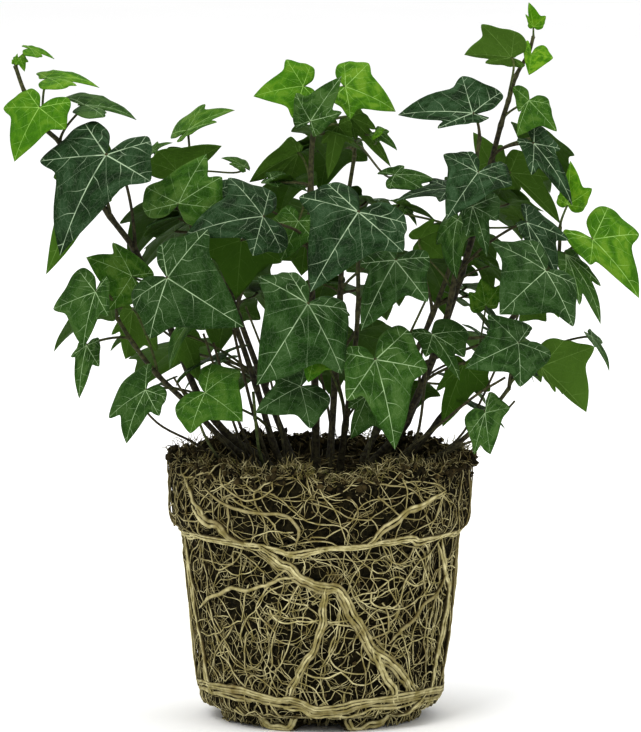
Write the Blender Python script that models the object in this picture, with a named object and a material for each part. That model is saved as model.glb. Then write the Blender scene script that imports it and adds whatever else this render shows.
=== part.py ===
"""An ivy plant lifted out of its nursery pot, standing on its bare root ball.

Sizes are in millimetres and become metres as each object is made. +Z is up, the front of the
plant is -Y, and the origin is the centre of the root ball's underside.
"""

import math
import random

import bmesh
import bpy
from mathutils import Vector

METRES_PER_MM = 0.001
GAP = 0.4  # air between two pieces that touch in the real plant

# Root ball: compost in the shape of the pot it grew in, with the pot's collar and drained foot.
BALL_HEIGHT = 108.0
COLLAR_HEIGHT = 27.5
COLLAR_RADIUS = 62.5
COLLAR_DRAFT = 1.8  # the collar is this much narrower at its lower edge
COLLAR_STEP = 4.0  # how far the collar stands out from the wall
WALL_DRAFT = 7.8  # the wall is this much narrower at its foot
FOOT_HEIGHT = 6.5
FOOT_INSET = 6.5
DRAIN_WIDTH = 20.0
DRAIN_DEPTH = 13.0
DRAINS = 4
SOIL_HOLLOW = 8.0  # the soil surface lies this far below the rim
RIM_WIDTH = 13.0
RIM_RAGGEDNESS = 2.2
BALL_FACETS = 60

SOIL_LEVEL = BALL_HEIGHT - SOIL_HOLLOW
COLLAR_BASE = BALL_HEIGHT - COLLAR_HEIGHT
WALL_TOP_RADIUS = COLLAR_RADIUS - COLLAR_DRAFT - COLLAR_STEP
WALL_FOOT_RADIUS = WALL_TOP_RADIUS - WALL_DRAFT
FOOT_RADIUS = WALL_FOOT_RADIUS - FOOT_INSET

# Thick roots are flat bands that grew between the compost and the pot wall.
ROOT_WIDTH = 4.4
ROOT_THICKNESS = 2.4
ROOT_SIDES = 6
ROOT_END_ROOM = ROOT_WIDTH + GAP  # from a ring root's middle to where a slanting root may end
ROOT_STEPS = 2  # sections for each point of a root's route
RING_ROOT_STEP = 18.0  # degrees between two points of a ring root

# Shoots, leaf stalks and blades.
SHOOT_SIDES = 6
STALK_SIDES = 5
STALK_RADIUS = 0.6
STALK_SECTIONS = 5
STALK_ROOTING = 1.0  # how far back along the shoot a stalk's middle line begins
UPRIGHT_START = 4.0  # each shoot leaves the soil straight up for this far
DRAWN_SOIL_RADIUS = 49.5  # the radius of the soil inside the rim that the shoots' points are for
ROOTED_HEIGHT = 30.0  # with other soil, a shoot below this height moves in or out with its edge
BLADE_THICKNESS = 0.7
BLADE_ARCH = 0.28
BLADE_FOLD = 0.12
BLADE_ROLL = 0.30

# Blade outlines, as shares of the length from the stalk to the main tip: side lobe and base lobe as
# (degrees from the main lobe, reach), then the reach of the notch before each of them.
FORMS = {
    "mature": ((56, 0.75), (112, 0.54), 0.53, 0.50),
    "broad": ((60, 0.90), (116, 0.64), 0.58, 0.54),
    "tailed": ((52, 0.62), (108, 0.46), 0.42, 0.42),
    "young": ((50, 0.72), (106, 0.50), 0.58, 0.52),
}

# Root routes over the wall: degrees round from the front, positive to the right, and height as a
# share of the way from the foot ring root (0) to the collar ring root (1).
COLLAR_ROOT_DROP = 4.5  # below the collar
FOOT_ROOT_RISE = 6.0  # above the foot
ROOTS = {
    "main_root": [(-25, 1.0), (-14, 0.91), (0, 0.80), (8, 0.76), (13, 0.60), (17, 0.50), (23, 0.36),
                  (32, 0.26), (41, 0.14), (49, 0.0)],
    "centre_root": [(1, 0.66), (1, 0.55), (-3, 0.38), (-8, 0.26), (-12, 0.13), (-15, 0.0)],
    "left_root": [(-74, 0.92), (-73, 0.72), (-72, 0.53), (-67, 0.32), (-65, 0.0)],
    "right_root": [(59, 1.0), (66, 0.80), (72, 0.60), (70, 0.42), (66, 0.25), (64, 0.0)],
    "back_root": [(150, 1.0), (160, 0.80), (172, 0.62), (186, 0.48), (196, 0.28), (205, 0.0)],
}

# Shoots: thickness at the soil and at the tip, and a route of (right, back, height above the soil).
SHOOTS = {
    "left_shoot": (1.9, 0.8, [
        (-22, 0, 0), (-36, -2, 14), (-48, -4, 29), (-57, -6, 50), (-66, -9, 73), (-75, -11, 92),
        (-85, -13, 106), (-97, -14, 124), (-105, -15, 136), (-112, -15, 143), (-119, -14, 156),
        (-123, -13, 167)]),
    "left_low_shoot": (1.6, 0.8, [
        (-25, -12, 0), (-38, -16, 14), (-52, -20, 29), (-66, -23, 43), (-75, -25, 55), (-82, -24, 66)]),
    "front_left_shoot": (1.7, 0.8, [
        (-15, -18, 0), (-19, -20, 14), (-26, -22, 38), (-34, -26, 62), (-44, -28, 84), (-52, -28, 103)]),
    "centre_shoot": (2.0, 0.9, [
        (-2, 0, 0), (-2, -3, 25), (-3, -6, 60), (-4, -8, 90), (-4, -10, 116), (-3, -11, 138),
        (1, -12, 152)]),
    "front_shoot": (1.7, 0.8, [
        (8, -16, 0), (10, -24, 22), (13, -33, 46), (15, -36, 70), (15, -38, 94)]),
    "right_mid_shoot": (1.8, 0.8, [
        (20, -8, 0), (31, -11, 17), (40, -14, 35), (47, -16, 52), (53, -18, 75), (56, -19, 98),
        (61, -20, 120), (64, -20, 138)]),
    "right_shoot": (1.9, 0.7, [
        (24, 5, 0), (35, 4, 20), (47, 3, 50), (57, 2, 80), (64, 0, 105), (69, -1, 126), (73, -2, 142),
        (76, -3, 152), (79, -3, 162), (84, -3, 171), (86, -3, 178)]),
    "right_far_shoot": (1.6, 0.7, [
        (34, -5, 0), (48, -7, 22), (64, -9, 46), (79, -10, 66), (90, -10, 78), (96, -8, 88), (97, -6, 101)]),
    "right_low_shoot": (1.5, 0.8, [
        (38, -18, 0), (52, -22, 12), (66, -26, 25), (76, -28, 38)]),
    "back_left_shoot": (1.7, 0.8, [
        (-12, 16, 0), (-22, 22, 30), (-34, 26, 62), (-44, 24, 92), (-53, 15, 118)]),
    "back_middle_shoot": (1.8, 0.8, [
        (4, 20, 0), (6, 32, 34), (8, 42, 66), (10, 46, 98), (14, 40, 126)]),
    "back_right_shoot": (1.7, 0.8, [
        (18, 18, 0), (32, 30, 30), (46, 38, 60), (56, 40, 88), (60, 36, 108)]),
}

# Leaves: shoot, number of the shoot's point that the stalk grows from, where the blade meets the
# stalk, the way from there to the main tip, the way the upper face looks, and the outline's form.
# Places are (right, back, height above the soil).
LEAVES = {
    "leaf_left_large": ("left_shoot", 5, (-86, -34, 133), (-18, -15, -39), (-4, -8, 4), "mature"),
    "leaf_left_outer": ("left_shoot", 9, (-113, -24, 151), (-10, -6, -21), (-3, -9, 4), "mature"),
    "leaf_left_upper": ("back_left_shoot", 4, (-54, 8, 139), (19, -6, 9), (-2, -5, 7), "young"),
    "leaf_left_wavy": ("front_left_shoot", 5, (-57, -30, 113), (11, -2, 20), (-2, -8, 2), "broad"),
    "leaf_left_middle": ("left_shoot", 4, (-76, -24, 83), (-18, -3, 8), (2, -9, 3), "mature"),
    "leaf_left_dark": ("left_low_shoot", 5, (-90, -46, 79), (-5, -5, -22), (-3, -9, 3), "mature"),
    "leaf_left_low": ("left_low_shoot", 2, (-70, -50, 40), (-8, -8, -20), (-3, -8, 4), "mature"),
    "leaf_front_left": ("front_left_shoot", 3, (-61, -58, 86), (30, -12, -18), (-3, -9, 3), "mature"),
    "leaf_front_left_low": ("front_left_shoot", 1, (-46, -58, 40), (15, -10, -10), (0, -8, 5), "broad"),
    "leaf_centre_left": ("centre_shoot", 3, (-23, -42, 109), (-31, -9, -6), (0, -8, 5), "mature"),
    "leaf_centre_top_left": ("centre_shoot", 6, (-7, -16, 159), (-20, -3, -4), (-1, -8, 4), "mature"),
    "leaf_centre_top": ("centre_shoot", 5, (-4, -28, 146), (12, -4, 18), (0, -9, 2), "broad"),
    "leaf_centre_top_right": ("centre_shoot", 6, (10, -18, 159), (21, 4, -10), (2, -9, 4), "mature"),
    "leaf_centre_large": ("front_shoot", 4, (15, -64, 113), (-19, -15, -30), (0, -8, 4), "broad"),
    "leaf_front_large": ("front_shoot", 1, (-5, -52, 75), (-20, -18, -30), (2, -8, 4), "mature"),
    "leaf_front_right": ("front_shoot", 1, (22, -56, 53), (8, -8, -35), (2, -9, 2), "mature"),
    "leaf_centre_right": ("front_shoot", 3, (30, -48, 92), (-14, -10, -27), (-2, -8, 3), "mature"),
    "leaf_right_small": ("back_middle_shoot", 4, (30, -4, 122), (16, -3, -1), (0, -6, 5), "young"),
    "leaf_right_wide": ("right_mid_shoot", 7, (61, -26, 149), (-30, 6, -1), (0, -8, 5), "mature"),
    "leaf_right_dark": ("right_mid_shoot", 6, (63, -36, 126), (-13, -12, -18), (0, -8, 4), "broad"),
    "leaf_right_top": ("right_shoot", 7, (77, -8, 170), (-19, -2, 1), (0, 8, 4), "mature"),
    "leaf_right_tip": ("right_shoot", 10, (86, -4, 182), (-2, -1, 10), (1, -9, -1), "young"),
    "leaf_right_hanging": ("right_shoot", 6, (84, -14, 153), (-5, -6, -14), (-2, -8, 4), "broad"),
    "leaf_right_slanting": ("right_shoot", 5, (86, -18, 136), (16, -4, -24), (4, -8, 3), "mature"),
    "leaf_right_pointed": ("right_far_shoot", 6, (100, -6, 110), (1, -2, 18), (0, -9, -1), "young"),
    "leaf_right_outer": ("right_far_shoot", 4, (110, -16, 97), (19, -4, -23), (2, -8, 4), "mature"),
    "leaf_right_inner": ("right_mid_shoot", 4, (83, -28, 105), (12, -8, -20), (2, -8, 4), "mature"),
    "leaf_right_large": ("right_far_shoot", 3, (90, -50, 88), (-19, -16, -16), (1, -8, 4), "broad"),
    "leaf_right_low": ("right_low_shoot", 3, (79, -50, 59), (-21, -9, -9), (1, -9, 3), "broad"),
    "leaf_right_low_outer": ("right_low_shoot", 3, (89, -30, 47), (18, -4, -18), (1, 9, 3), "broad"),
    "leaf_back_left_high": ("back_left_shoot", 3, (-62, 44, 105), (-18, 16, -26), (-5, 6, 6), "mature"),
    "leaf_back_left": ("back_left_shoot", 2, (-36, 56, 78), (-10, 20, -27), (-3, 7, 6), "mature"),
    "leaf_back_left_low": ("back_left_shoot", 1, (-58, 50, 46), (-18, 16, -20), (-5, 6, 6), "broad"),
    "leaf_back_side": ("back_left_shoot", 2, (-86, 26, 66), (-24, 8, -20), (-6, 4, 6), "mature"),
    "leaf_back_middle_high": ("back_middle_shoot", 4, (4, 58, 128), (-4, 20, -20), (0, 7, 7), "mature"),
    "leaf_back_middle": ("back_middle_shoot", 3, (-4, 66, 100), (-4, 22, -28), (0, 7, 6), "broad"),
    "leaf_back_middle_low": ("back_middle_shoot", 1, (14, 62, 50), (3, 20, -28), (1, 8, 5), "mature"),
    "leaf_back_right_high": ("back_right_shoot", 4, (66, 52, 112), (18, 16, -24), (5, 6, 6), "mature"),
    "leaf_back_right": ("back_right_shoot", 2, (44, 62, 80), (10, 20, -25), (3, 7, 6), "mature"),
    "leaf_back_right_low": ("back_right_shoot", 1, (72, 46, 50), (20, 14, -20), (5, 5, 6), "broad"),
}

SOIL_COLOUR = (0.035, 0.022, 0.014)
ROOT_COLOUR = (0.45, 0.33, 0.17)
SHOOT_COLOUR = (0.06, 0.045, 0.02)
OLD_LEAF_COLOUR = (0.02, 0.08, 0.03)
YOUNG_LEAF_COLOUR = (0.10, 0.25, 0.04)


def clear_scene():
    for old in list(bpy.data.objects):
        bpy.data.objects.remove(old)


def make_material(name, colour, roughness):
    made = bpy.data.materials.new(name)
    made.use_nodes = True
    shader = made.node_tree.nodes["Principled BSDF"]
    shader.inputs["Base Color"].default_value = (*colour, 1.0)
    shader.inputs["Roughness"].default_value = roughness
    return made


def make_object(name, mesh, surface, smooth=False):
    """Turns a bmesh in millimetres into an object in metres."""
    bmesh.ops.recalc_face_normals(mesh, faces=mesh.faces)
    bmesh.ops.scale(mesh, vec=Vector((1, 1, 1)) * METRES_PER_MM, verts=mesh.verts)
    data = bpy.data.meshes.new(name)
    mesh.to_mesh(data)
    mesh.free()
    data.materials.append(surface)
    if smooth:
        data.shade_smooth()
    made = bpy.data.objects.new(name, data)
    bpy.context.scene.collection.objects.link(made)
    return made


def make_helper(made):
    made.hide_render = True
    made.display_type = "WIRE"


def bridge(mesh, sections):
    """Joins a row of equal rings of points into one closed tube with flat ends."""
    rings = [[mesh.verts.new(point) for point in section] for section in sections]
    for low, high in zip(rings, rings[1:]):
        for side in range(len(low)):
            after = (side + 1) % len(low)
            mesh.faces.new((low[side], low[after], high[after], high[side]))
    mesh.faces.new(rings[0][::-1])
    mesh.faces.new(rings[-1])


def smooth_route(points, steps):
    """A Catmull-Rom curve through the points, with this many steps between two of them."""
    points = [Vector(point) for point in points]
    before_first = points[0] * 2 - points[1]
    after_last = points[-1] * 2 - points[-2]
    padded = [before_first, *points, after_last]
    route = []
    for a, b, c, d in zip(padded, padded[1:], padded[2:], padded[3:]):
        for step in range(steps):
            t = step / steps
            route.append(0.5 * (2 * b + (c - a) * t + (2 * a - 5 * b + 4 * c - d) * t ** 2
                                + (3 * b - a - 3 * c + d) * t ** 3))
    route.append(points[-1])
    return route


def directions(route):
    ahead = [*route[1:], route[-1]]
    behind = [route[0], *route[:-1]]
    return [(after - before).normalized() for after, before in zip(ahead, behind)]


def round_sections(route, radii, sides):
    """Rings of points round a route, each square to it."""
    sections = []
    across = Vector((0.3, 1.0, 0.2))
    for point, along, radius in zip(route, directions(route), radii):
        across = (across - along * across.dot(along)).normalized()
        up = along.cross(across)
        ring = []
        for side in range(sides):
            turn = 2 * math.pi * side / sides
            ring.append(point + (across * math.cos(turn) + up * math.sin(turn)) * radius)
        sections.append(ring)
    return sections


# Root ball


def ball_point(degrees, radius, height):
    turn = math.radians(degrees)
    return Vector((radius * math.sin(turn), -radius * math.cos(turn), height))


def wall_radius(height):
    share = (height - FOOT_HEIGHT) / (COLLAR_BASE - FOOT_HEIGHT)
    return WALL_FOOT_RADIUS + WALL_DRAFT * share


def make_soil_plug():
    rough = random.Random(4)
    collar_lower = COLLAR_RADIUS - COLLAR_DRAFT
    rim_inner = COLLAR_RADIUS - RIM_WIDTH
    # (radius, height, how far the height may wander, how far the radius may)
    profile = [
        (FOOT_RADIUS - 1, 0, 0, 0.2),
        (FOOT_RADIUS, 1, 0, 0.2),
        (FOOT_RADIUS, FOOT_HEIGHT, 0, 0.2),
        (WALL_FOOT_RADIUS - 1, FOOT_HEIGHT, 0, 0),
        (WALL_FOOT_RADIUS, FOOT_HEIGHT + 1, 0, 0),
        (WALL_TOP_RADIUS, COLLAR_BASE - 1.5, 0, 0),
        (collar_lower - 0.8, COLLAR_BASE, 0.3, 0.2),
        (collar_lower, COLLAR_BASE + 1.5, 0.3, 0.4),
        (COLLAR_RADIUS, BALL_HEIGHT - 3, 1.0, 0.6),
        (COLLAR_RADIUS - 2.5, BALL_HEIGHT, RIM_RAGGEDNESS, 0.8),
        ((COLLAR_RADIUS + rim_inner) / 2, BALL_HEIGHT - 1, RIM_RAGGEDNESS, 0.8),
        (rim_inner, SOIL_LEVEL + SOIL_HOLLOW / 4, 1.0, 0.8),
        (rim_inner - 4, SOIL_LEVEL, 0, 0),
    ]
    sections = []
    for radius, height, height_wander, radius_wander in profile:
        ring = []
        for facet in range(BALL_FACETS):
            degrees = 360 * facet / BALL_FACETS
            here = radius - radius_wander * rough.random()
            ring.append(ball_point(degrees, here, height + height_wander * rough.uniform(-1, 1)))
        sections.append(ring)
    mesh = bmesh.new()
    bridge(mesh, sections)
    plug = make_object("soil_plug", mesh, SOIL)
    for number in range(DRAINS):
        cut_drain(plug, 360 * number / DRAINS)
    return plug


def cut_drain(plug, degrees):
    """Cuts one of the drain channels that the pot's foot pressed into the ball's edge."""
    inner = FOOT_RADIUS - DRAIN_DEPTH
    outer = WALL_FOOT_RADIUS + 5
    mesh = bmesh.new()
    bmesh.ops.create_cube(mesh, size=1)
    bmesh.ops.scale(mesh, vec=(DRAIN_WIDTH, outer - inner, FOOT_HEIGHT * 2), verts=mesh.verts)
    bmesh.ops.translate(mesh, vec=(0, -(outer + inner) / 2, 0), verts=mesh.verts)
    cutter = make_object(f"drain_cutter_{degrees:.0f}", mesh, SOIL)
    cutter.rotation_euler.z = math.radians(degrees)
    make_helper(cutter)
    cut = plug.modifiers.new("drain", "BOOLEAN")
    cut.operation = "DIFFERENCE"
    cut.object = cutter


# Thick roots


def root_sections(route):
    """Flat oval sections along a route of (degrees, height) that lies on the wall."""
    points = []
    for degrees, height, _ in smooth_route([(*place, 0) for place in route], ROOT_STEPS):
        radius = wall_radius(height) + GAP + ROOT_THICKNESS / 2
        points.append(ball_point(degrees, radius, height))
    sections = []
    for point, along in zip(points, directions(points)):
        outward = Vector((point.x, point.y, 0)).normalized()
        outward = (outward - along * outward.dot(along)).normalized()
        side_way = along.cross(outward)
        ring = []
        for side in range(ROOT_SIDES):
            turn = 2 * math.pi * side / ROOT_SIDES
            ring.append(point + side_way * math.cos(turn) * ROOT_WIDTH / 2
                        + outward * math.sin(turn) * ROOT_THICKNESS / 2)
        sections.append(ring)
    return sections


def make_root(name, route):
    mesh = bmesh.new()
    bridge(mesh, root_sections(route))
    return make_object(name, mesh, ROOT, smooth=True)


def make_ring_root(name, height, wave):
    """A root that grew nearly all the way round, with its two ends apart at the back."""
    route = []
    steps = int(350 / RING_ROOT_STEP)
    for step in range(steps + 1):
        degrees = -175 + 350 * step / steps
        route.append((degrees, height + wave * math.sin(math.radians(5 * degrees))))
    return make_root(name, route)


def make_thick_roots():
    top = COLLAR_BASE - COLLAR_ROOT_DROP
    bottom = FOOT_HEIGHT + FOOT_ROOT_RISE
    make_ring_root("collar_root", top, 0.5)
    make_ring_root("foot_root", bottom, 1.0)
    lowest = bottom + 1.0 + ROOT_END_ROOM
    highest = top - 0.5 - ROOT_END_ROOM
    for name, points in ROOTS.items():
        route = [(degrees, lowest + (highest - lowest) * share) for degrees, share in points]
        make_root(name, route)


# Shoots, stalks and blades


def above_soil(place):
    return Vector(place) + Vector((0, 0, SOIL_LEVEL))


def on_soil(point):
    """A point of a shoot, moved with the edge of the soil if it's low."""
    right, back, height = point
    lowness = max(0.0, 1 - height / ROOTED_HEIGHT)
    share = 1 + ((COLLAR_RADIUS - RIM_WIDTH) / DRAWN_SOIL_RADIUS - 1) * lowness
    return above_soil((right * share, back * share, height))


def shoot_route(points):
    base = on_soil(points[0])
    start = base + Vector((0, 0, GAP))
    bend = base + Vector((0, 0, UPRIGHT_START))
    return [start, *smooth_route([bend, *(on_soil(point) for point in points[1:])], 2)]


def stalk_route(leaf):
    """A curve from the shoot to just below and behind the place where the blade begins."""
    shoot, number, junction, tip, face, _ = leaf
    points = SHOOTS[shoot][2]
    knot = on_soil(points[number])
    start = knot + (on_soil(points[number - 1]) - knot).normalized() * STALK_ROOTING
    along, _, upward = blade_axes(tip, face)
    clear = BLADE_THICKNESS / 2 + GAP + STALK_RADIUS * 1.4
    end = above_soil(junction) - along * STALK_RADIUS * 2 - upward * clear
    length = (end - start).length
    leaving = start + Vector((0, 0, 0.3 * length))
    arriving = end - (along * 0.4 + upward * 0.9).normalized() * 0.3 * length
    route = []
    for step in range(STALK_SECTIONS):
        t = step / (STALK_SECTIONS - 1)
        route.append(start * (1 - t) ** 3 + leaving * 3 * t * (1 - t) ** 2
                     + arriving * 3 * t ** 2 * (1 - t) + end * t ** 3)
    return route


def make_shoot(name):
    thick, thin, points = SHOOTS[name]
    route = shoot_route(points)
    radii = [thick + (thin - thick) * step / (len(route) - 1) for step in range(len(route))]
    mesh = bmesh.new()
    bridge(mesh, round_sections(route, radii, SHOOT_SIDES))
    shoot = make_object(name, mesh, SHOOT, smooth=True)
    stalks = bpy.data.collections.new(name + "_stalks")
    bpy.context.scene.collection.children.link(stalks)
    for leaf_name, leaf in LEAVES.items():
        if leaf[0] != name:
            continue
        mesh = bmesh.new()
        radii = [STALK_RADIUS] * STALK_SECTIONS
        bridge(mesh, round_sections(stalk_route(leaf), radii, STALK_SIDES))
        stalk = make_object(leaf_name + "_stalk", mesh, SHOOT, smooth=True)
        make_helper(stalk)
        bpy.context.scene.collection.objects.unlink(stalk)
        stalks.objects.link(stalk)
    joined = shoot.modifiers.new("stalks", "BOOLEAN")
    joined.operation = "UNION"
    joined.operand_type = "COLLECTION"
    joined.collection = stalks


def blade_axes(tip, face):
    along = Vector(tip).normalized()
    upward = Vector(face)
    upward = (upward - along * upward.dot(along)).normalized()
    return along, along.cross(upward), upward


def polar(degrees, reach):
    turn = math.radians(degrees)
    return (reach * math.sin(turn), reach * math.cos(turn))


def between(first, second, share=0.5):
    return tuple(a + (b - a) * share for a, b in zip(first, second))


def half_outline(form):
    """One side of a blade of length 1, from beside the main tip to the notch at the stalk."""
    (side_turn, side_reach), (base_turn, base_reach), notch, waist = FORMS[form]
    main_tip = (0, 1)
    first_notch = polar(side_turn / 2, notch)
    side_tip = polar(side_turn, side_reach)
    second_notch = polar((side_turn + base_turn) / 2 + 6, waist)
    base_tip = polar(base_turn, base_reach)
    heel = polar(146, 0.36)
    return [between(main_tip, first_notch), first_notch, between(first_notch, side_tip), side_tip,
            between(side_tip, second_notch), second_notch, base_tip, between(base_tip, heel), heel,
            polar(158, 0.1)]


def make_blade(name, leaf):
    """A thin lobed blade, closed all round: a fan of faces from the stalk on each side."""
    _, _, junction, tip, face, form = leaf
    along, across, upward = blade_axes(tip, face)
    length = Vector(tip).length
    half = half_outline(form)
    outline = [(-x, y) for x, y in reversed(half)] + [(0, 1)] + half + [(0, 0)]
    mesh = bmesh.new()
    sides = []
    for offset in (BLADE_THICKNESS / 2, -BLADE_THICKNESS / 2):
        points = []
        for x, y in outline:
            rise = BLADE_ARCH * y * (1 - y) + BLADE_FOLD * abs(x) - BLADE_ROLL * x * x
            place = above_soil(junction) + (across * x + along * y + upward * rise) * length
            points.append(mesh.verts.new(place + upward * offset))
        sides.append(points)
    top, under = sides
    for number in range(len(outline) - 2):
        mesh.faces.new((top[-1], top[number], top[number + 1]))
        mesh.faces.new((under[-1], under[number + 1], under[number]))
    for number in range(len(outline)):
        after = (number + 1) % len(outline)
        mesh.faces.new((top[number], under[number], under[after], top[after]))
    make_object(name, mesh, YOUNG_LEAF if form == "young" else OLD_LEAF)


clear_scene()
SOIL = make_material("soil", SOIL_COLOUR, 0.95)
ROOT = make_material("root", ROOT_COLOUR, 0.8)
SHOOT = make_material("shoot", SHOOT_COLOUR, 0.7)
OLD_LEAF = make_material("old_leaf", OLD_LEAF_COLOUR, 0.45)
YOUNG_LEAF = make_material("young_leaf", YOUNG_LEAF_COLOUR, 0.45)

make_soil_plug()
make_thick_roots()
for shoot_name in SHOOTS:
    make_shoot(shoot_name)
for blade_name, blade_leaf in LEAVES.items():
    make_blade(blade_name, blade_leaf)
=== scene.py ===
"""Looks of the ivy plant: leaves, shoots, thick and fine roots, and the compost that they hold.

Sizes are in millimetres in the frame of the CAD model (+Z up, front -Y, origin under the root
ball) and become metres as each piece is made. Plant heights are counted from the soil surface.
"""

import itertools
import math
import random

import bpy
import numpy as np
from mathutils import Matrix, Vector, noise


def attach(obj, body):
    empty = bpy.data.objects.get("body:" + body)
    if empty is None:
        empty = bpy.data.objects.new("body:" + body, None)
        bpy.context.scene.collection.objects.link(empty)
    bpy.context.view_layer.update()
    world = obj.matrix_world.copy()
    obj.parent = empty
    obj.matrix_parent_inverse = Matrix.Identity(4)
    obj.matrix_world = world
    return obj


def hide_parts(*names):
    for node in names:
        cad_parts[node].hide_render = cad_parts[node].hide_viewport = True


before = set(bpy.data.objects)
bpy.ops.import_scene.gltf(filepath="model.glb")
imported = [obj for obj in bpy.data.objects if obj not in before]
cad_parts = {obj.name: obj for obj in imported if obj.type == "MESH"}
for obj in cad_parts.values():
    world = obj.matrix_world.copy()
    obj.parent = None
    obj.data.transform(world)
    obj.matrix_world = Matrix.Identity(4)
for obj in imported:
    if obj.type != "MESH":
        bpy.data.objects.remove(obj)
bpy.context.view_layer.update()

METRES_PER_MM = 0.001

# ---------------------------------------------------------------- colours

# Leaf colours as (old leaf, young leaf).
LEAF_COLOURS = {
    "green": ((0.010, 0.037, 0.007), (0.085, 0.235, 0.003)),
    "dark": ((0.003, 0.015, 0.002), (0.045, 0.155, 0.001)),
    # A paler grey-green, used for cloudy patches that are partly the blade's uneven tone and partly painted
    # sheen, and for the band along the main veins.
    "pale_and_sheen": ((0.030, 0.070, 0.027), (0.170, 0.320, 0.014)),
    "vein": ((0.380, 0.480, 0.320), (0.300, 0.520, 0.080)),
    "under": ((0.050, 0.120, 0.008), (0.085, 0.160, 0.024)),
    "under_dark": ((0.020, 0.060, 0.002), (0.050, 0.110, 0.010)),
    "under_vein": ((0.11, 0.20, 0.04), (0.19, 0.30, 0.08)),
}
SIDE_VEINS = 3.6  # for each lobe

# The other surfaces, as (dark, light) where there are two.
BARK = ((0.014, 0.011, 0.006), (0.060, 0.054, 0.026))
GREEN_STALK = ((0.050, 0.085, 0.015), (0.110, 0.160, 0.035))
PURPLE_STALK = ((0.026, 0.016, 0.010), (0.065, 0.048, 0.022))
ROOT_CREAM = ((0.275, 0.240, 0.092), (0.640, 0.590, 0.340))
ROOT_BROWN = ((0.080, 0.060, 0.016), (0.180, 0.145, 0.048))
# Painted shade for the sides of roots that look sideways or in towards the ball, or away from the lit side.
ROOT_PAINTED_SHADE = (0.036, 0.024, 0.005)
ROOT_STAIN = (0.12, 0.080, 0.020)
COMPOST = ((0.003, 0.003, 0.001), (0.026, 0.021, 0.008))
COMPOST_FLECK = (0.12, 0.095, 0.040)
CRUMB = ((0.005, 0.004, 0.002), (0.034, 0.026, 0.010))
CRUMB_PALE = (0.080, 0.060, 0.024)
MOSS = ((0.045, 0.040, 0.008), (0.260, 0.215, 0.075))
MOSS_GREEN = (0.100, 0.110, 0.025)
FLOOR_WHITES = ((0.93, 0.93, 0.93), (0.95, 0.95, 0.95))

# ---------------------------------------------------------------- root ball

SOIL_LEVEL = 100.0
RIM_HEIGHT = 109.0
COLLAR_HEIGHT = 84.0  # the collar's roots start here
LOWEST = 0.15

# The root ball's outline from its underside up the wall, over the collar and in to the soil surface.
PROFILE = [(40.6, 0.3), (41.8, 2), (42, 6), (47.6, 6.6), (48.9, 9), (56.3, 77), (60.2, 80.5), (61, 84),
           (62.2, 104), (61, 107.5), (58, 109), (54, 107.5), (50, 103.5), (44, 100.5), (30, 99.5), (6, 99)]

# Channels that drain the foot.
DRAINS = 4
DRAIN_HALF_WIDTH = 10.0
DRAIN_INNER = 29.5
DRAIN_TOP = 6.3

# Where the rim has crumbled: degrees round from the front, width in degrees, depth.
RIM_DIPS = [(-24, 8, 4.0), (6, 9, 5.5), (18, 6, 2.5), (56, 12, 3.0), (-62, 10, 2.0), (110, 16, 3.0),
            (170, 20, 3.5), (-115, 16, 3.0)]
RIM_DIP_START = 96.0  # below this height the ball is whole

SOIL_COLUMNS = 300
SOIL_ROWS = 110
SOIL_SINK = 1.2
RIM_SINK = 0.4
RIM_REACH = 6.0  # how far down its outline the rim is rough

# Thick roots as (strands, how thick one strand is, route), with a route of (degrees round from the
# front, height). They lie where the CAD model has its roots.
THICK_ROOTS = {
    "collar_root": (3, 0.68, [
        (-172, 77), (-150, 78), (-128, 76), (-105, 77), (-75, 76.5), (-58, 78.5), (-34, 78.3), (-22, 76.2),
        (-13, 74.6), (-4, 75.2), (3, 76.7), (17, 78.2), (26, 79.4), (36, 80), (43, 78), (56, 79), (70, 78),
        (95, 77), (120, 78.5), (146, 76), (172, 77.5)]),
    "foot_root": (5, 0.66, [
        (-172, 12), (-140, 11), (-110, 13), (-74, 14), (-56, 15), (-36, 15.2), (-22, 13), (-13, 12.6),
        (-3, 9.8), (9, 9.6), (20, 11.8), (35, 12.7), (63, 12.8), (90, 11), (120, 13), (150, 11.5),
        (172, 12.5)]),
    "main_root": (4, 0.72, [
        (-26, 76), (-20, 72), (-14, 69), (-7, 63.5), (0, 61), (8, 59.5), (13, 51), (17, 43.5), (23, 35),
        (32, 28.5), (41, 21.5), (49, 14)]),
    "centre_root": (3, 0.62, [
        (2, 61), (1, 56), (1, 47.5), (-2.5, 36), (-8, 28.5), (-12, 20.5), (-15, 13.5)]),
    "left_root": (2, 0.8, [
        (-75, 76), (-74, 66), (-73, 56), (-72, 45), (-67, 32), (-65, 19), (-60, 13)]),
    "right_root": (2, 0.9, [
        (58, 77), (62, 68), (70, 58), (72, 48), (69, 37), (66, 26), (64, 13)]),
    "back_root": (3, 1.05, [
        (150, 76), (158, 66), (168, 56), (180, 50), (190, 40), (198, 28), (206, 13)]),
}
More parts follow.
